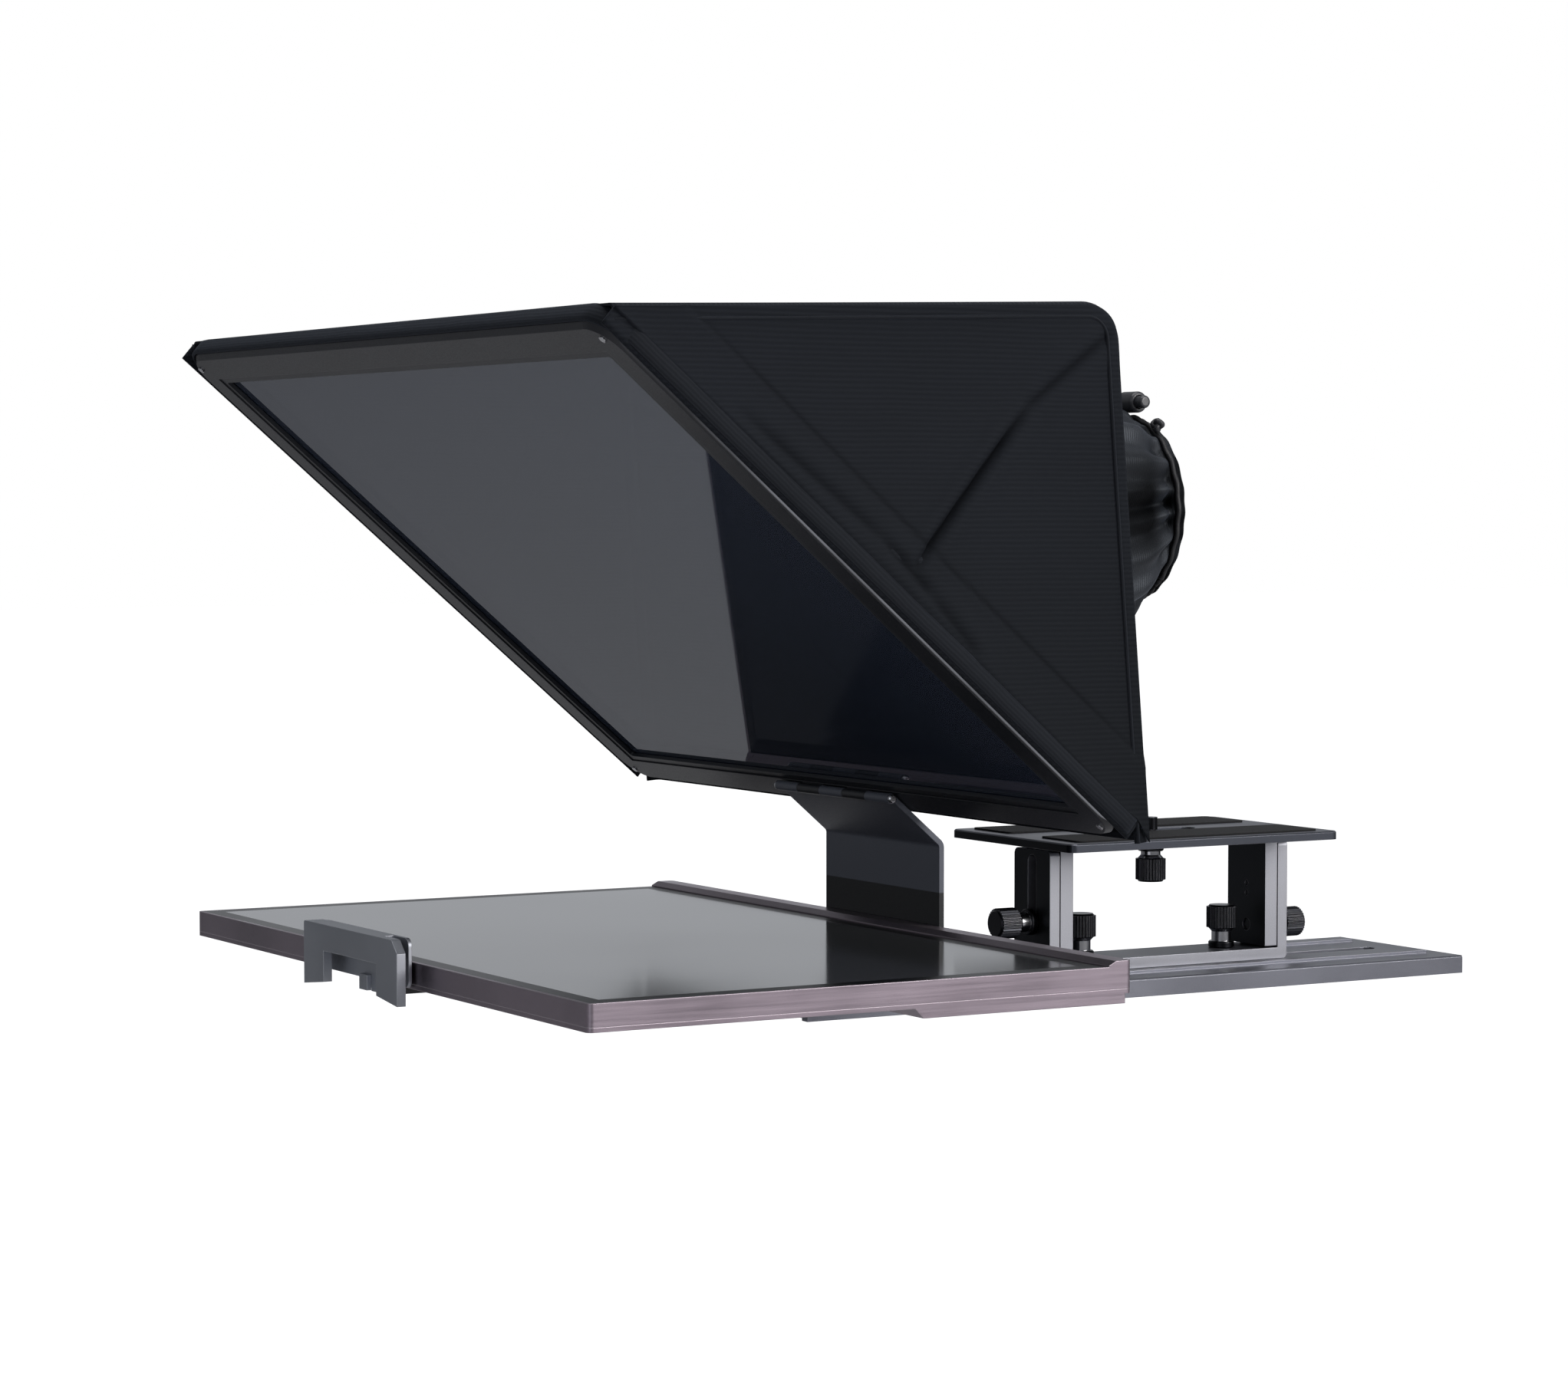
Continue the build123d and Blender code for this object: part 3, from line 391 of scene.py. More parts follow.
give(anodised, "base_rail")
give(riser_metal("lower riser metal"), "lower_riser")
give(riser_metal("platform metal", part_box("camera_platform")[1].z), "camera_platform")
give(clip_metal, "clip_jaw", "clip_tongue")
give(bracket_material(), "mirror_bracket")
give(black_metal, "monitor_mount_plate", "mount_spacer", "support_arm", "clip_guide")
give(frame_black, "mirror_frame", "glass_clamp", "hinge_knuckles")
give(coat("satin glass trim", (0.019, 0.0205, 0.025), rough=0.40, edge=0.0003), "glass_retainer")
give(steel, "tripod_insert_large", "tripod_inserts_small", "hinge_pin", "mount_screws", "vesa_screws",
     "rail_nuts", "screw_bush", "frame_screws", "clip_spring")
KNOB_HEAD = 0.0109
LONG_NECK, SHORT_NECK = 0.0065, 0.0036
for knob, axis, out, neck in (("clamp_knob_front", 2, 1, LONG_NECK), ("clamp_knob_rear", 2, 1, LONG_NECK),
                              ("height_knob_front", 1, -1, LONG_NECK), ("height_knob_rear", 1, 1, SHORT_NECK),
                              ("camera_screw", 2, -1, SHORT_NECK)):
    knob_low, knob_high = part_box(knob)
    head_end = (knob_low if out < 0 else knob_high)[axis]
    give(knob_material(knob.replace("_", " "), axis, head_end - out * KNOB_HEAD, neck, out), knob)
give(housing, "monitor_housing", "monitor_back_cover")
give(screen_material(), "monitor_glass")
give(coat("display", (0.01, 0.01, 0.012)), "lcd_panel", "backlight")
give(board, "controller_board", "button_board")
give(plastic, "dc_jack", "power_button", "menu_up_button", "menu_down_button", "cord_lock",
     "cord_lock_button")
give(port, "hdmi_port")
give(mirror_material(), "beam_splitter_glass")
give(rubber, "glass_gasket", "clip_pad", "platform_pads")

# ---------------------------------------------------------------- the hood's frame of reference
# the mirror frame slopes by ANGLE; DOWN runs along it to its foot, BACK away from the reader
ANGLE = math.radians(40.4)
FOOT = Vector((0, -0.1362, 0.0900))
DOWN = Vector((0, math.cos(ANGLE), -math.sin(ANGLE)))
BACK = Vector((0, math.sin(ANGLE), math.cos(ANGLE)))
LENGTH = 0.316
DEPTH = 0.009
HALF = 0.2128
ROOF_FRONT = Vector((0, -0.3712, 0.3030))
REAR_TOP = Vector((0, -0.1412, 0.3093))
REAR_FOOT = Vector((0, -0.1237, 0.0888))
CORNER = 0.016
FRAME_CORNER = 0.016


def on_slope(down, back, x=0.0):
    return FOOT + DOWN * down + BACK * back + Vector((x, 0, 0))


def outline(steps_roof, steps_corner, steps_rear):
    """Points along the hood's outer profile, front of the roof to foot of the rear, with outward normals."""
    into = (REAR_TOP - ROOF_FRONT).normalized()
    down = (REAR_FOOT - REAR_TOP).normalized()
    turn = math.acos(into.dot(down))
    setback = CORNER * math.tan(turn / 2)
    start, end = REAR_TOP - into * setback, REAR_TOP + down * setback
    normal_roof = Vector((0, -into.z, into.y))
    centre = start - normal_roof * CORNER
    points = []
    for i in range(steps_roof):
        points.append((ROOF_FRONT.lerp(start, i / steps_roof), normal_roof))
    for i in range(steps_corner):
        a = -turn * i / steps_corner
        n = Vector((0, normal_roof.y * math.cos(a) - normal_roof.z * math.sin(a),
                    normal_roof.y * math.sin(a) + normal_roof.z * math.cos(a)))
        points.append((centre + n * CORNER, n))
    normal_rear = Vector((0, -down.z, down.y))
    for i in range(steps_rear + 1):
        points.append((end.lerp(REAR_FOOT, i / steps_rear), normal_rear))
    return points


def ripple(x, y, z, seed=0.0):
    """A smooth, repeatable unevenness between about -1 and 1."""
    return (math.sin(31 * x + 17 * y + 2.1 + seed) * math.sin(23 * y - 29 * z + 0.7 * seed)
            + 0.6 * math.sin(53 * z + 41 * x + 1.3 * seed) * math.sin(37 * y + 11 * x + 0.4)) / 1.6


def to_line(p, a, b):
    """Distance from p to the stretch a-b in the YZ plane, signed by side, and how far along it is."""
    ab = b - a
    t = max(0.0, min(1.0, (p - a).dot(ab) / ab.length_squared))
    foot = a + ab * t
    side = 1.0 if (ab.y * (p.z - a.z) - ab.z * (p.y - a.y)) >= 0 else -1.0
    return (p - foot).length * side, t


def grid_mesh(name, rows, uv, closed=False):
    """A sheet from rows of points, with its cloth coordinates in metres."""
    count = len(rows[0])
    verts = [p for row in rows for p in row]
    span = count if closed else count - 1
    faces = [
        (r * count + c, r * count + (c + 1) % count, (r + 1) * count + (c + 1) % count, (r + 1) * count + c)
        for r in range(len(rows) - 1)
        for c in range(span)
    ]
    mesh = bpy.data.meshes.new(name)
    mesh.from_pydata(verts, [], faces)
    layer = mesh.uv_layers.new(name="cloth")
    for poly in mesh.polygons:
        r, c = divmod(poly.index, span)
        corners = ((r, c), (r, c + 1), (r + 1, c + 1), (r + 1, c))
        for k, loop in enumerate(poly.loop_indices):
            layer.data[loop].uv = uv(*corners[k])
        poly.use_smooth = True
    obj = bpy.data.objects.new(name, mesh)
    scene.collection.objects.link(obj)
    return obj


def thicken(obj, thickness, offset=-1.0):
    m = obj.modifiers.new("cloth thickness", "SOLIDIFY")
    m.thickness = thickness
    m.offset = offset
    return obj


def tube(name, path, radius, sides=8, closed=False):
    """A mesh tube along points."""
    n = len(path)
    rings = []
    for i, p in enumerate(path):
        a = path[(i - 1) % n] if closed or i > 0 else path[0]
        b = path[(i + 1) % n] if closed or i < n - 1 else path[-1]
        t = (b - a).normalized()
        ref = Vector((1, 0, 0)) if abs(t.x) < 0.8 else Vector((0, 0, 1))
        u = t.cross(ref).normalized()
        v = t.cross(u)
        turns = [2 * math.pi * k / sides for k in range(sides)]
        rings.append([p + (u * math.cos(turn) + v * math.sin(turn)) * radius for turn in turns])
    if closed:
        rings.append(rings[0])
    return grid_mesh(name, rows=rings, uv=lambda r, c: (r * 0.002, c * 0.001), closed=True)


def soft(obj, material, body="mirror"):
    obj.data.materials.append(material)
    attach(obj, body)
    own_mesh(obj)
    return obj


HOOD_COLOUR = (0.0040, 0.0047, 0.0072)
# painted shade on the hood cloth: darkest below 0.12 m, full colour above 0.27 m
side_cloth = fabric("ribbed hood cloth", HOOD_COLOUR, 0.0021, sheen=0.04, painted_shade_span=(0.12, 0.27))
sleeve_cloth = fabric("gathered sleeve cloth", (0.0055, 0.0060, 0.0070), 0.0016, sheen=0.12, rough=0.5,
                      rib=0.00008, gloss=0.75)
binding_cloth = fabric("hem binding", (0.005, 0.0055, 0.0075), 0.0012, sheen=0.08, rib=0.0001)
thread = coat("stitching thread", (0.035, 0.036, 0.04), rough=0.6)

# creases of the side panels, in the YZ plane:
# each is its start, its end, its depth and its width
CREASES = (
    ((-0.1430, 0.2975), (-0.1820, 0.2674), 0.0009, 0.0022),
    ((-0.1820, 0.2674), (-0.2364, 0.2033), 0.0022, 0.0021),
    ((-0.3166, 0.2628), (-0.2530, 0.2140), 0.0006, 0.0022),
    ((-0.2530, 0.2140), (-0.2314, 0.1924), 0.0009, 0.0020),
    ((-0.2314, 0.1924), (-0.2090, 0.1677), 0.0007, 0.0022),
)


def side_panel(name, side, replaced):
    """Side of the hood: stretched from the mirror frame's edge to the roof and rear."""
    edge_steps, free_steps, band_steps = 190, 84, 3
    outer = outline(104, 12, 74)
    rows, folds = [], []
    creases = [(Vector((0, *a)), Vector((0, *b)), depth, width) for a, b, depth, width in CREASES]
    for j in range(edge_steps + 1):
        t = j / edge_steps
        target, normal = outer[round(t * (len(outer) - 1))]
        target = target - normal * 0.0012
        down = -LENGTH * (1 - t)
        row, shadow = [], []
        for k in range(band_steps + 1):
            row.append(on_slope(down, 0.0005 + (DEPTH - 0.0005) * k / band_steps, side * HALF))
            shadow.append(0.0)
        start = on_slope(down, DEPTH)
        for k in range(1, free_steps + 1):
            v = k / free_steps
            p = start.lerp(target, v)
            reach = (target - start).length
            dish = 4 * v * (1 - v) * min(1.0, reach / 0.12)
            out = -0.0030 * dish + 0.0006 * ripple(0, p.y * 1.3, p.z * 1.2, 3.0 + side) * dish
            rise = (p - start).dot(BACK)
            out += 0.0007 * (1 - min(1.0, max(0.0, (rise - 0.0200) / 0.0016)))
            # painted shade for the fold_shade attribute: a line along the foot of the raised band near the
            # frame, and along each crease
            dark = 0.45 * math.exp(-((rise - 0.0214) / 0.0012) ** 2) * min(1.0, reach / 0.06)
            for a, b, depth, width in creases:
                d, along = to_line(p, a, b)
                fade = min(1.0, 3 * along + 0.25) * min(1.0, 5 * (1 - along) + 0.45)
                out -= depth * fade * math.exp(-(d / width) ** 2)
                out += depth * 0.5 * fade * math.exp(-((abs(d) - 2.4 * width) / (1.7 * width)) ** 2)
                dark = max(dark, min(1.0, depth / 0.0017) * 0.9 * fade * math.exp(-(d / (width * 0.9)) ** 2))
            row.append(Vector((side * (HALF + out), p.y, p.z)))
            shadow.append(dark)
        rows.append(row)
        folds += shadow
    obj = grid_mesh(name, rows, uv=lambda r, c: (rows[r][c].y, rows[r][c].z))
    # store the painted shade as the fold_shade attribute
    obj.data.attributes.new("fold_shade", "FLOAT", "POINT").data.foreach_set("value", folds)
    if side < 0:
        obj.data.flip_normals()
    thicken(obj, 0.0010)
    soft(obj, side_cloth)
    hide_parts(replaced)
    return obj


def stitches(name, a, b, x, pitch=0.0032):
    """A row of short stitches between two points of a side panel, lying on the cloth at x."""
    count = max(2, int((b - a).length / pitch))
    verts, faces = [], []
    for i in range(count):
        start, end = a.lerp(b, (i + 0.18) / count), a.lerp(b, (i + 0.82) / count)
        across = (end - start).normalized().cross(Vector((1, 0, 0))) * 0.00032
        side = 1 if x > 0 else -1
        base = len(verts)
        for share, lift in ((0.0, 0.0), (0.5, 0.00038), (1.0, 0.0)):
            p = start.lerp(end, share)
            for off in (-1, 0, 1):
                crown = 0.00022 if off == 0 else 0
                verts.append(Vector((x + side * (lift + crown), p.y, p.z)) + across * off)
        for r in range(2):
            for c in range(2):
                q = base + r * 3 + c
                faces.append((q, q + 1, q + 4, q + 3))
    mesh = bpy.data.meshes.new(name)
    mesh.from_pydata(verts, [], faces)
    for poly in mesh.polygons:
        poly.use_smooth = True
    obj = bpy.data.objects.new(name, mesh)
    scene.collection.objects.link(obj)
    return obj


def stay_pocket(name, side):
    """Sewn pocket at the foot of the stay, where the creases meet."""
    middle = Vector((0, -0.2405, 0.2020))
    u, v = DOWN, BACK
    half_u, half_v = 0.0150, 0.0085
    rows = []
    for i in range(15):
        row = []
        for k in range(11):
            du, dv = -1 + 2 * i / 14, -1 + 2 * k / 10
            edge = min(1.0, 5 * (1 - abs(du))) * min(1.0, 4 * (1 - abs(dv)))
            p = middle + u * du * half_u + v * dv * half_v
            x = HALF - 0.0015 + 0.0017 * edge + 0.0004 * math.cos(9 * dv) * edge
            row.append(Vector((side * x, p.y, p.z)))
        rows.append(row)
    obj = grid_mesh(name, rows, uv=lambda r, c: (rows[r][c].y, rows[r][c].z))
    if side > 0:
        obj.data.flip_normals()
    return soft(thicken(obj, 0.0012), binding_cloth)


side_left = side_panel("hood_panel_left", 1, "hood_side_left")
side_right = side_panel("hood_panel_right", -1, "hood_side_right")

stay_pocket("stay_pocket_left", 1)
stay_pocket("stay_pocket_right", -1)
for label, side in (("left", 1), ("right", -1)):
    soft(stitches(f"edge_stitches_{label}", on_slope(-LENGTH + 0.022, DEPTH + 0.0178),
                  on_slope(-0.022, DEPTH + 0.0178), side * (HALF - 0.0012)), thread)
    soft(stitches(f"frame_stitches_{label}", on_slope(-LENGTH + 0.006, DEPTH + 0.0035),
                  on_slope(-0.004, DEPTH + 0.0035), side * (HALF + 0.0002)), thread)

SLEEVE_Z = 0.212
SLEEVE_R = 0.070
# lengths along the profile, from the front of the roof
ROOF_RUN, REAR_START = 0.215, 0.24
REAR_LEAN = (REAR_TOP.y - REAR_FOOT.y) / (REAR_TOP.z - REAR_FOOT.z)


def rear_y(z):
    return REAR_FOOT.y + REAR_LEAN * (z - REAR_FOOT.z)


def cut_hole(obj, middle, radius):
    """Take out the faces of a cloth within radius of a point on its rear."""
    bm = bmesh.new()
    bm.from_mesh(obj.data)
    gone = [f for f in bm.faces if (f.calc_center_median() - middle).length < radius]
    bmesh.ops.delete(bm, geom=gone, context="FACES")
    bm.to_mesh(obj.data)
    bm.free()


def wrap_panel():
    """Roof and rear in one cloth, its long edges turned down over the side panels."""
    profile = outline(76, 12, 62)
    edge = 0.0032
    flat = HALF - edge
    across = []
    steps = 104
    for i in range(steps + 1):
        across.append((-flat + 2 * flat * i / steps, 0.0))
    arc = [(math.sin(a) * edge, edge - math.cos(a) * edge) for a in (0.4, 0.8, 1.2, math.pi / 2)]
    arc += [(edge, edge + d) for d in (0.002, 0.004)]
    across = [(-flat - x, drop) for x, drop in reversed(arc)] + across + [(flat + x, drop) for x, drop in arc]
    hole, hole_radius = Vector((0, rear_y(SLEEVE_Z), SLEEVE_Z)), SLEEVE_R - 0.001
    rows, travelled, last = [], [], None
    length = 0.0
    for p, n in profile:
        length += 0.0 if last is None else (p - last).length
        last = p
        travelled.append(length)
    total = travelled[-1]
    for (p, n), s in zip(profile, travelled):
        row = []
        for x, drop in across:
            q = Vector((x, p.y, p.z)) - n * drop
            taut = (1 - (x / HALF) ** 2)
            roof_share = max(0.0, 1 - s / ROOF_RUN)
            sag = -0.0035 * taut * 4 * roof_share * (1 - roof_share)
            rear_share = max(0.0, (s - REAR_START) / (total - REAR_START))
            from_hole = (Vector((x, q.y, q.z)) - hole).length
            clear = min(1.0, max(0.0, (from_hole - SLEEVE_R) / 0.04))
            puff = 0.0012 * taut * 4 * rear_share * (1 - rear_share) * clear
            wrinkle = 0.0005 * ripple(x, q.y, q.z, 1.0) * taut
            q = q + n * (sag + puff + wrinkle)
            if rear_share > 0 and abs(from_hole - hole_radius) < 0.0024:
                q = hole + (q - hole).normalized() * hole_radius
            row.append(q)
        rows.append(row)
    obj = grid_mesh("hood_roof_and_rear", rows, uv=lambda r, c: (across[c][0], travelled[r]))
    cut_hole(obj, hole, SLEEVE_R - 0.0008)
    thicken(obj, 0.0011)
    soft(obj, side_cloth)
    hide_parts("hood_wrap")
    return obj, total


roof, roof_length = wrap_panel()


# how much further the binding stands off along its -X side, at mid height
HEM_BULGE = 0.0038


def hem_band():
    """Binding that folds round the top and sides of the mirror frame, over its outer edge."""
    corner = FRAME_CORNER + 0.0013
    path = []
    for down in np.linspace(-0.0015, -LENGTH + corner, 90):
        path.append((Vector((HALF, down, 0)), Vector((1, 0, 0))))
    for a in np.linspace(0, math.pi / 2, 13)[1:-1]:
        c = Vector((HALF - corner, -LENGTH + corner, 0))
        n = Vector((math.cos(a), -math.sin(a), 0))
        path.append((c + n * corner, n))
    for x in np.linspace(HALF - corner, -HALF + corner, 120):
        path.append((Vector((x, -LENGTH, 0)), Vector((0, -1, 0))))
    for a in np.linspace(0, math.pi / 2, 13)[1:-1]:
        c = Vector((-HALF + corner, -LENGTH + corner, 0))
        n = Vector((-math.sin(a), -math.cos(a), 0))
        path.append((c + n * corner, n))
    for down in np.linspace(-LENGTH + corner, -0.0015, 90):
        path.append((Vector((-HALF, down, 0)), Vector((-1, 0, 0))))
    rows = []
    for p, n in path:
        out = 0.0014 if abs(n.y) > 0.5 else 0.0010
        if n.x < -0.9:
            share = min(1.0, max(0.0, -p.y / LENGTH))
            out += HEM_BULGE * math.sin(math.pi * share) ** 0.6
        row = []
        for lift, back in ((0.0004, 0.0022), (out, 0.0027), (out, 0.0055), (out, 0.0088), (0.0003, 0.0102)):
            q = p + n * lift
            row.append(on_slope(q.y, back, q.x))
        rows.append(row)
    obj = grid_mesh("hood_hem_binding", rows, uv=lambda r, c: (r * 0.0035, c * 0.0025))
    obj.data.flip_normals()
    return soft(thicken(obj, 0.0007), binding_cloth)


hem = hem_band()


def seam_tube(name, side):
    pts = [p - n * 0.0062 + Vector((side * (HALF + 0.0003), 0, 0)) for p, n in outline(70, 12, 56)]
    return soft(tube(name, pts, 0.0009, sides=6), binding_cloth)


seams = [seam_tube("hood_seam_left", 1), seam_tube("hood_seam_right", -1)]


GATHERS = 23
# the larger folds, as direction, height and angular width
RIDGES = (
    (math.radians(48), 0.0042, 0.20),
    (math.radians(-27), 0.0040, 0.16),
    (math.radians(140), 0.0036, 0.24),
)
HOLLOW_AT, HOLLOW_WIDTH = math.radians(4), 0.30


def turn_from(a, b):
    """The angle between two directions round the sleeve."""
    return math.pi - abs(math.pi - abs(a - b) % (2 * math.pi))


def smooth(keys, column, t):
    """A value of the sleeve's keys at t, eased through them."""
    ts = [k[0] for k in keys]
    values = [k[column] for k in keys]
    i = max(k for k in range(len(ts) - 1) if ts[k] <= t)
    h = ts[i + 1] - ts[i]
    a = (t - ts[i]) / h
    slopes = []
    for k in (i, i + 1):
        low, high = max(0, k - 1), min(len(ts) - 1, k + 1)
        slopes.append((values[high] - values[low]) / (ts[high] - ts[low]))
    return ((2 * a ** 3 - 3 * a ** 2 + 1) * values[i] + (a ** 3 - 2 * a ** 2 + a) * h * slopes[0]
            + (-2 * a ** 3 + 3 * a ** 2) * values[i + 1] + (a ** 3 - a ** 2) * h * slopes[1])


def sleeve():
    """The gathered lens sleeve, pleated towards its drawn hem."""
    # share of its run, then y, z and radius
    keys = ((0.0, rear_y(SLEEVE_Z), SLEEVE_Z, SLEEVE_R), (0.38, -0.0750, 0.2165, 0.0660),
            (0.74, -0.0140, 0.2213, 0.0550), (0.87, 0.0035, 0.2238, 0.0462), (0.92, 0.0085, 0.2244, 0.0434),
            (0.955, 0.0112, 0.2244, 0.0422), (1.0, 0.0150, 0.2244, 0.0432))
    rings, around = 110, 460
    rows, folds = [], []
    for j in range(rings + 1):
        t = j / rings
        y, z, r = (smooth(keys, column, t) for column in (1, 2, 3))
        lean = REAR_LEAN * max(0.0, 1 - t / 0.45) ** 1.3
        gather = min(1.0, max(0.0, (t - 0.04) / 0.75)) ** 1.3
        bunch = math.exp(-((t - 0.875) / 0.05) ** 2)
        hem = min(1.0, max(0.0, (t - 0.90) / 0.03))
        row = []
        for k in range(around):
            a = 2 * math.pi * k / around
            drift = 0.8 * math.sin(2 * a + 1.0) + 0.5 * math.sin(5 * a + 0.4)
            pleat = 0.5 + 0.5 * math.cos(GATHERS * a + drift + 0.5 * (1 - t) * math.sin(3 * a))
            big = math.cos(7 * a + 2.6 + 0.7 * math.sin(3 * a))
            ridge = sum(height * math.exp(-(turn_from(a, at) / width) ** 2) for at, height, width in RIDGES)
            hollow = math.exp(-(turn_from(a, HOLLOW_AT) / HOLLOW_WIDTH) ** 2)
            radius = r - 0.0034 * gather * (1 - hem) * (1 - pleat) + 0.0016 * gather * (1 - hem) * big
            radius += (ridge - 0.0050 * hollow) * gather * (1 - hem) * (1 - 0.7 * bunch)
            radius += 0.0017 * bunch * (pleat ** 2 - 0.4)
            radius += 0.0003 * hem * math.cos(GATHERS * a + drift)
            sagging = 0.0180 * math.sin(math.pi * min(1.0, t / 0.92) ** 1.6) * max(0.0, -math.sin(a))
            row.append(Vector((radius * math.cos(a), y, z + radius * math.sin(a) - sagging)))
            row[-1].y += lean * (row[-1].z - SLEEVE_Z)
            # painted shade for the fold_shade attribute: away from the ridges, in the hollow and between the
            # bunched pleats; it also darkens the hem band
            plain = 0.55 * gather * (1 - min(1.0, ridge / 0.0030)) * (1 - bunch)
            deep = 0.75 * hollow * gather * (1 - bunch) * (1 - hem)
            folds.append(min(1.0, plain + deep + 0.5 * bunch * (1 - pleat) + 0.6 * hem))
        rows.append(row)
    obj = grid_mesh("lens_sleeve_cloth", rows, uv=lambda r, c: (c * 2 * math.pi * 0.06 / around, r * 0.0017),
                    closed=True)
    # store the painted shade as the fold_shade attribute
    obj.data.attributes.new("fold_shade", "FLOAT", "POINT").data.foreach_set("value", folds)
    obj.data.flip_normals()
    thicken(obj, 0.0008)
    soft(obj, sleeve_cloth)
    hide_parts("lens_sleeve_root", "lens_sleeve", "lens_sleeve_hem")
    return obj


sleeve_obj = sleeve()

# ring where the sleeve is sewn to the rear panel
ring_points = []
for k in range(120):
    a = 2 * math.pi * k / 120
    z = SLEEVE_Z + SLEEVE_R * math.sin(a)
    ring_points.append(Vector((SLEEVE_R * math.cos(a), rear_y(z) + 0.0006, z)))
sleeve_ring = soft(tube("sleeve_seam", ring_points, 0.0013, closed=True), binding_cloth)

CORD_Y, CORD_Z, CORD_R = 0.0110, 0.2244, 0.0440
cord_points = []
for k in range(184):
    a = 2 * math.pi * k / 184
    r = CORD_R - 0.0004 + 0.0004 * math.cos(GATHERS * a)
    cord_points.append(Vector((r * math.cos(a), CORD_Y, CORD_Z + r * math.sin(a))))
cord = coat("drawstring cord", (0.012, 0.012, 0.014), rough=0.5, grain=2500.0, grain_height=0.0002)
drawstring = soft(tube("sleeve_drawstring", cord_points, 0.0012, closed=True), cord)
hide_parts("drawstring")


def knot():
    """The drawstring's two ends, tied in a small knot on the ring."""
    turn, ring, size = math.radians(34), 0.0475, 0.00085
    middle = Vector((ring * math.sin(turn), CORD_Y, CORD_Z + ring * math.cos(turn)))
    out = Vector((math.sin(turn), 0, math.cos(turn)))
    along = Vector((math.cos(turn), 0, -math.sin(turn)))
    path = []
    for k in range(90):
        a = 2 * math.pi * k / 90
        path.append(middle + size * (out * (math.sin(a) + 2 * math.sin(2 * a))
                                     + along * (math.cos(a) - 2 * math.cos(2 * a))
                                     + Vector((0, 1, 0)) * (-1.3 * math.sin(3 * a))))
    glossy = coat("knotted cord", (0.03, 0.031, 0.036), rough=0.38, grain=2500.0, grain_height=0.0002)
    return soft(tube("drawstring_knot", path, 0.00135, closed=True), glossy)


drawstring_knot = knot()


def hoop():
    """Spring wire that squares the rear panel, inside the cloth."""
    low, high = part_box("rear_hoop")
    half, corner = high.x - 0.0012, 0.014
    z_low, z_high = low.z + 0.0012, high.z - 0.0012
    pts = []
    for cx, cz, start in ((half - corner, z_high - corner, 0), (-half + corner, z_high - corner, 90),
                          (-half + corner, z_low + corner, 180), (half - corner, z_low + corner, 270)):
        for i in range(9):
            a = math.radians(start + i * 90 / 8)
            z = cz + corner * math.sin(a)
            pts.append(Vector((cx + corner * math.cos(a), rear_y(z) - 0.0040, z)))
    obj = soft(tube("rear_hoop_wire", pts, 0.0012, closed=True), steel)
    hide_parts("rear_hoop")


def stays():
    """The two rods that hold the sides out, under the cloth."""
    for name, side in (("hood_stay_left", 1), ("hood_stay_right", -1)):
        a = Vector((side * 0.2082, -0.2198, 0.1966))
        b = Vector((side * 0.2082, -0.1532, 0.2953))
        obj = soft(tube(name, [a.lerp(b, i / 12) for i in range(13)], 0.0013), rod)
        if side > 0:
            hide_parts("side_stays")


hoop()
stays()


def stand_in(name, node, body, material):
    """A copy of a small hard piece that lies down with the cloth it is clipped to."""
    obj = bpy.data.objects.new(name, nodes[node].data.copy())
    scene.collection.objects.link(obj)
    obj.data.materials.clear()
    soft(obj, material, body)
    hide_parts(node)


lock_plastic = coat("cord lock plastic", (0.04, 0.041, 0.047), rough=0.24, grain=300.0, edge=0.0008)
stand_in("cord_lock_barrel", "cord_lock", "mirror", lock_plastic)
stand_in("cord_lock_plunger", "cord_lock_button", "lock_button", lock_plastic)

# ---------------------------------------------------------------- floor and lights
FLOOR_Z = -0.38
bpy.ops.mesh.primitive_plane_add(size=40, location=(0, 0, FLOOR_Z))
floor = bpy.context.object
floor.name = "floor"
g = Graph("pale floor")
seen = g.node("Emission")
seen.inputs["Color"].default_value = (1, 1, 1, 1)
seen.inputs["Strength"].default_value = 0.97
matt = g.node("BsdfDiffuse")
matt.inputs["Color"].default_value = (0.55, 0.55, 0.56, 1)
both = g.node("AddShader")
g.link(seen.outputs[0], both.inputs[0])
g.link(matt.outputs[0], both.inputs[1])
pick = g.node("MixShader")
g.link(g.node("LightPath").outputs["Is Camera Ray"], pick.inputs[0])
g.link(matt.outputs[0], pick.inputs[1])
g.link(both.outputs[0], pick.inputs[2])
g.link(pick.outputs[0], g.out.inputs[0])
floor.data.materials.append(g.material)

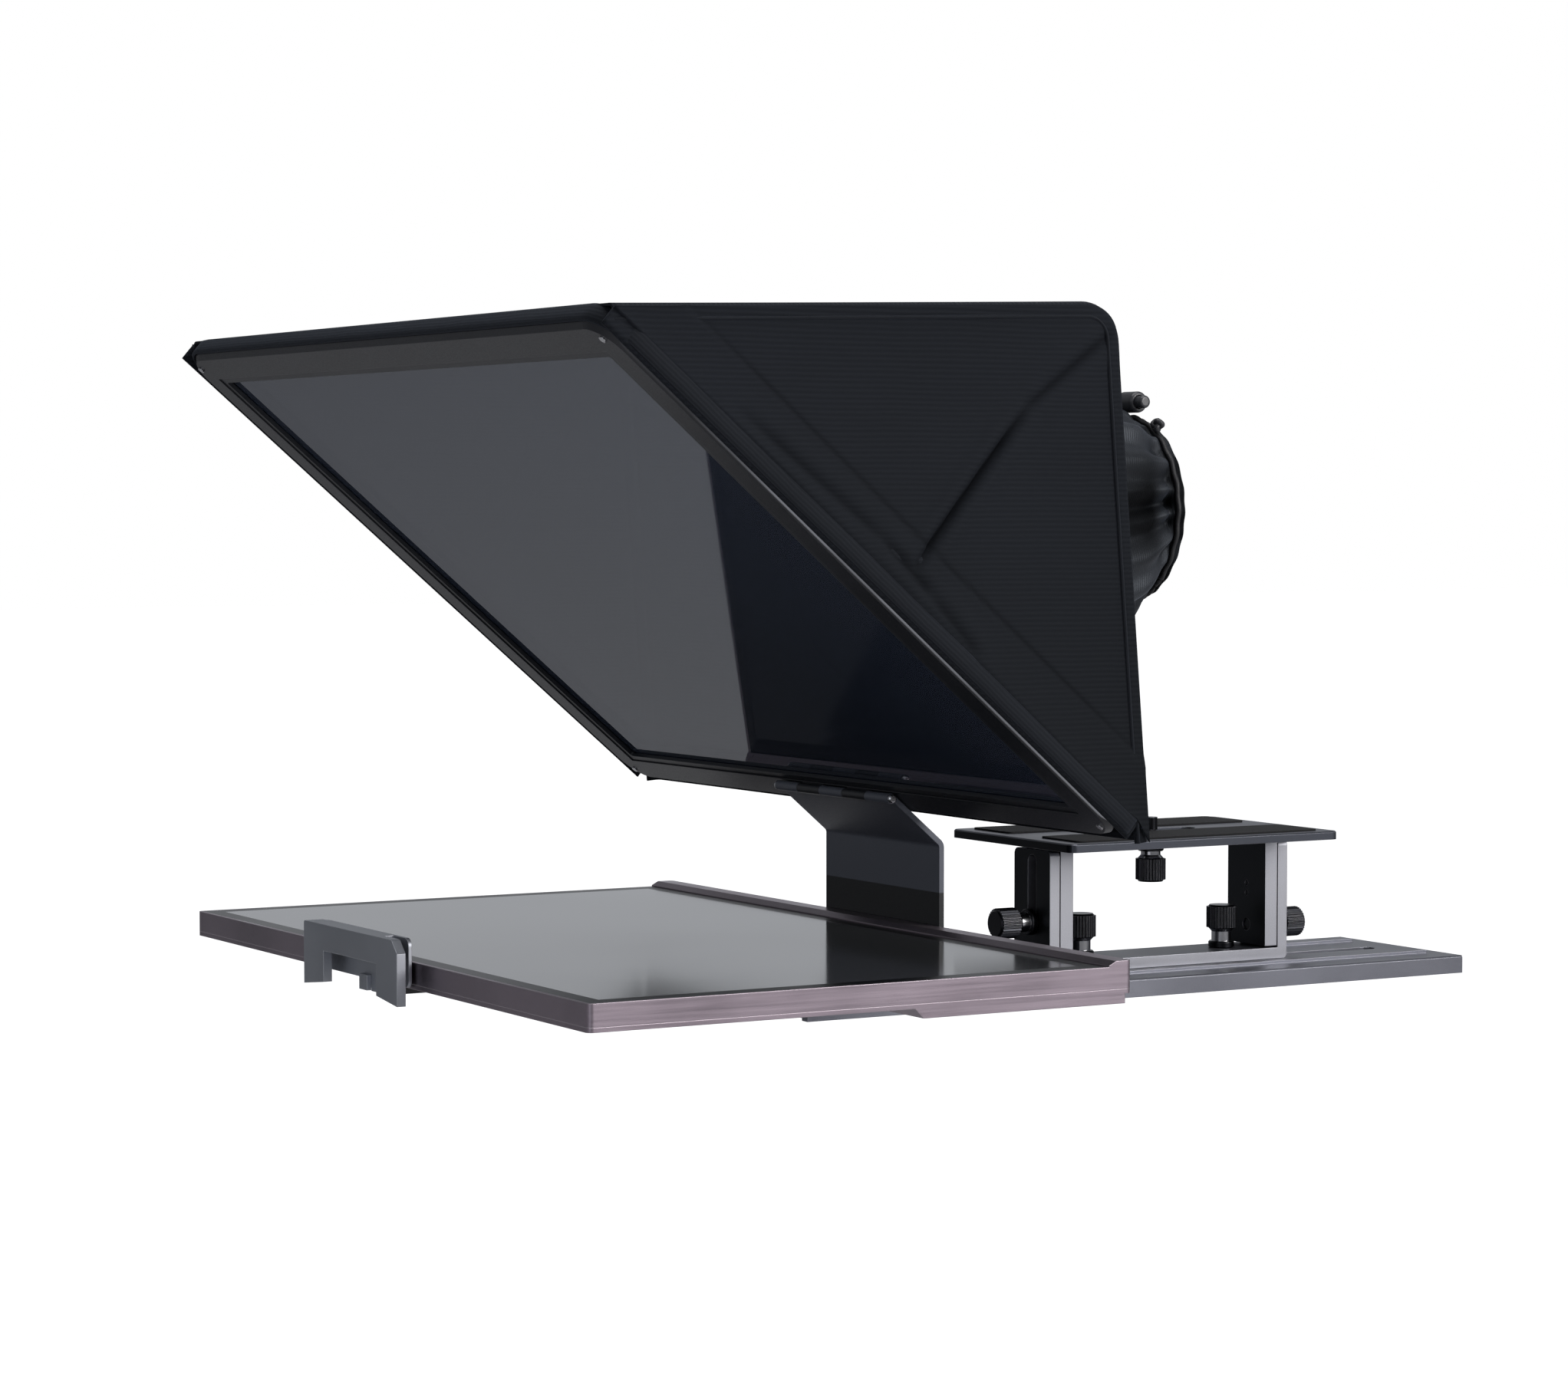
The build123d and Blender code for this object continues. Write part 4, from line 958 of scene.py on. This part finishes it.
world = bpy.data.worlds.new("studio")
scene.world = world
world.use_nodes = True
tree = world.node_tree
tree.nodes.clear()
# dim all round, with a brighter card behind the object, and plain white where the camera looks
card = tree.nodes.new("ShaderNodeVectorMath")
card.operation = "DOT_PRODUCT"
card.inputs[1].default_value = Vector((-0.866, 0.497, 0.055)).normalized()
tree.links.new(tree.nodes.new("ShaderNodeTexCoord").outputs["Generated"], card.inputs[0])
glow = tree.nodes.new("ShaderNodeMapRange")
glow.interpolation_type = "SMOOTHSTEP"
for socket, value in zip(glow.inputs[1:5], (0.925, 0.985, 0.22, 0.62)):
    socket.default_value = value
tree.links.new(card.outputs["Value"], glow.inputs[0])
dim = tree.nodes.new("ShaderNodeBackground")
dim.inputs[0].default_value = (0.92, 0.95, 1.0, 1)
tree.links.new(glow.outputs[0], dim.inputs[1])
white = tree.nodes.new("ShaderNodeBackground")
white.inputs[0].default_value = (1, 1, 1, 1)
white.inputs[1].default_value = 1.0
choose = tree.nodes.new("ShaderNodeMixShader")
tree.links.new(tree.nodes.new("ShaderNodeLightPath").outputs["Is Camera Ray"], choose.inputs[0])
tree.links.new(dim.outputs[0], choose.inputs[1])
tree.links.new(white.outputs[0], choose.inputs[2])
tree.links.new(choose.outputs[0], tree.nodes.new("ShaderNodeOutputWorld").inputs[0])


LIGHTS_AIM_AT = Vector((0, -0.1, 0.15))


def softbox(name, place, size, power, colour=(1, 1, 1)):
    data = bpy.data.lights.new(name, "AREA")
    data.shape = "RECTANGLE"
    data.size, data.size_y = size
    data.energy = power
    data.color = colour
    obj = bpy.data.objects.new(name, data)
    scene.collection.objects.link(obj)
    obj.location = place
    obj.rotation_mode = "QUATERNION"
    obj.rotation_quaternion = (LIGHTS_AIM_AT - Vector(place)).to_track_quat("-Z", "Y")


softbox("key", (2.2, 1.1, 1.0), (1.4, 1.4), 46, (1.0, 0.98, 0.97))
softbox("top", (0.2, -0.1, 2.2), (1.8, 1.8), 26)
softbox("fill", (1.6, -2.0, 0.5), (1.2, 1.2), 5, (0.9, 0.94, 1.0))
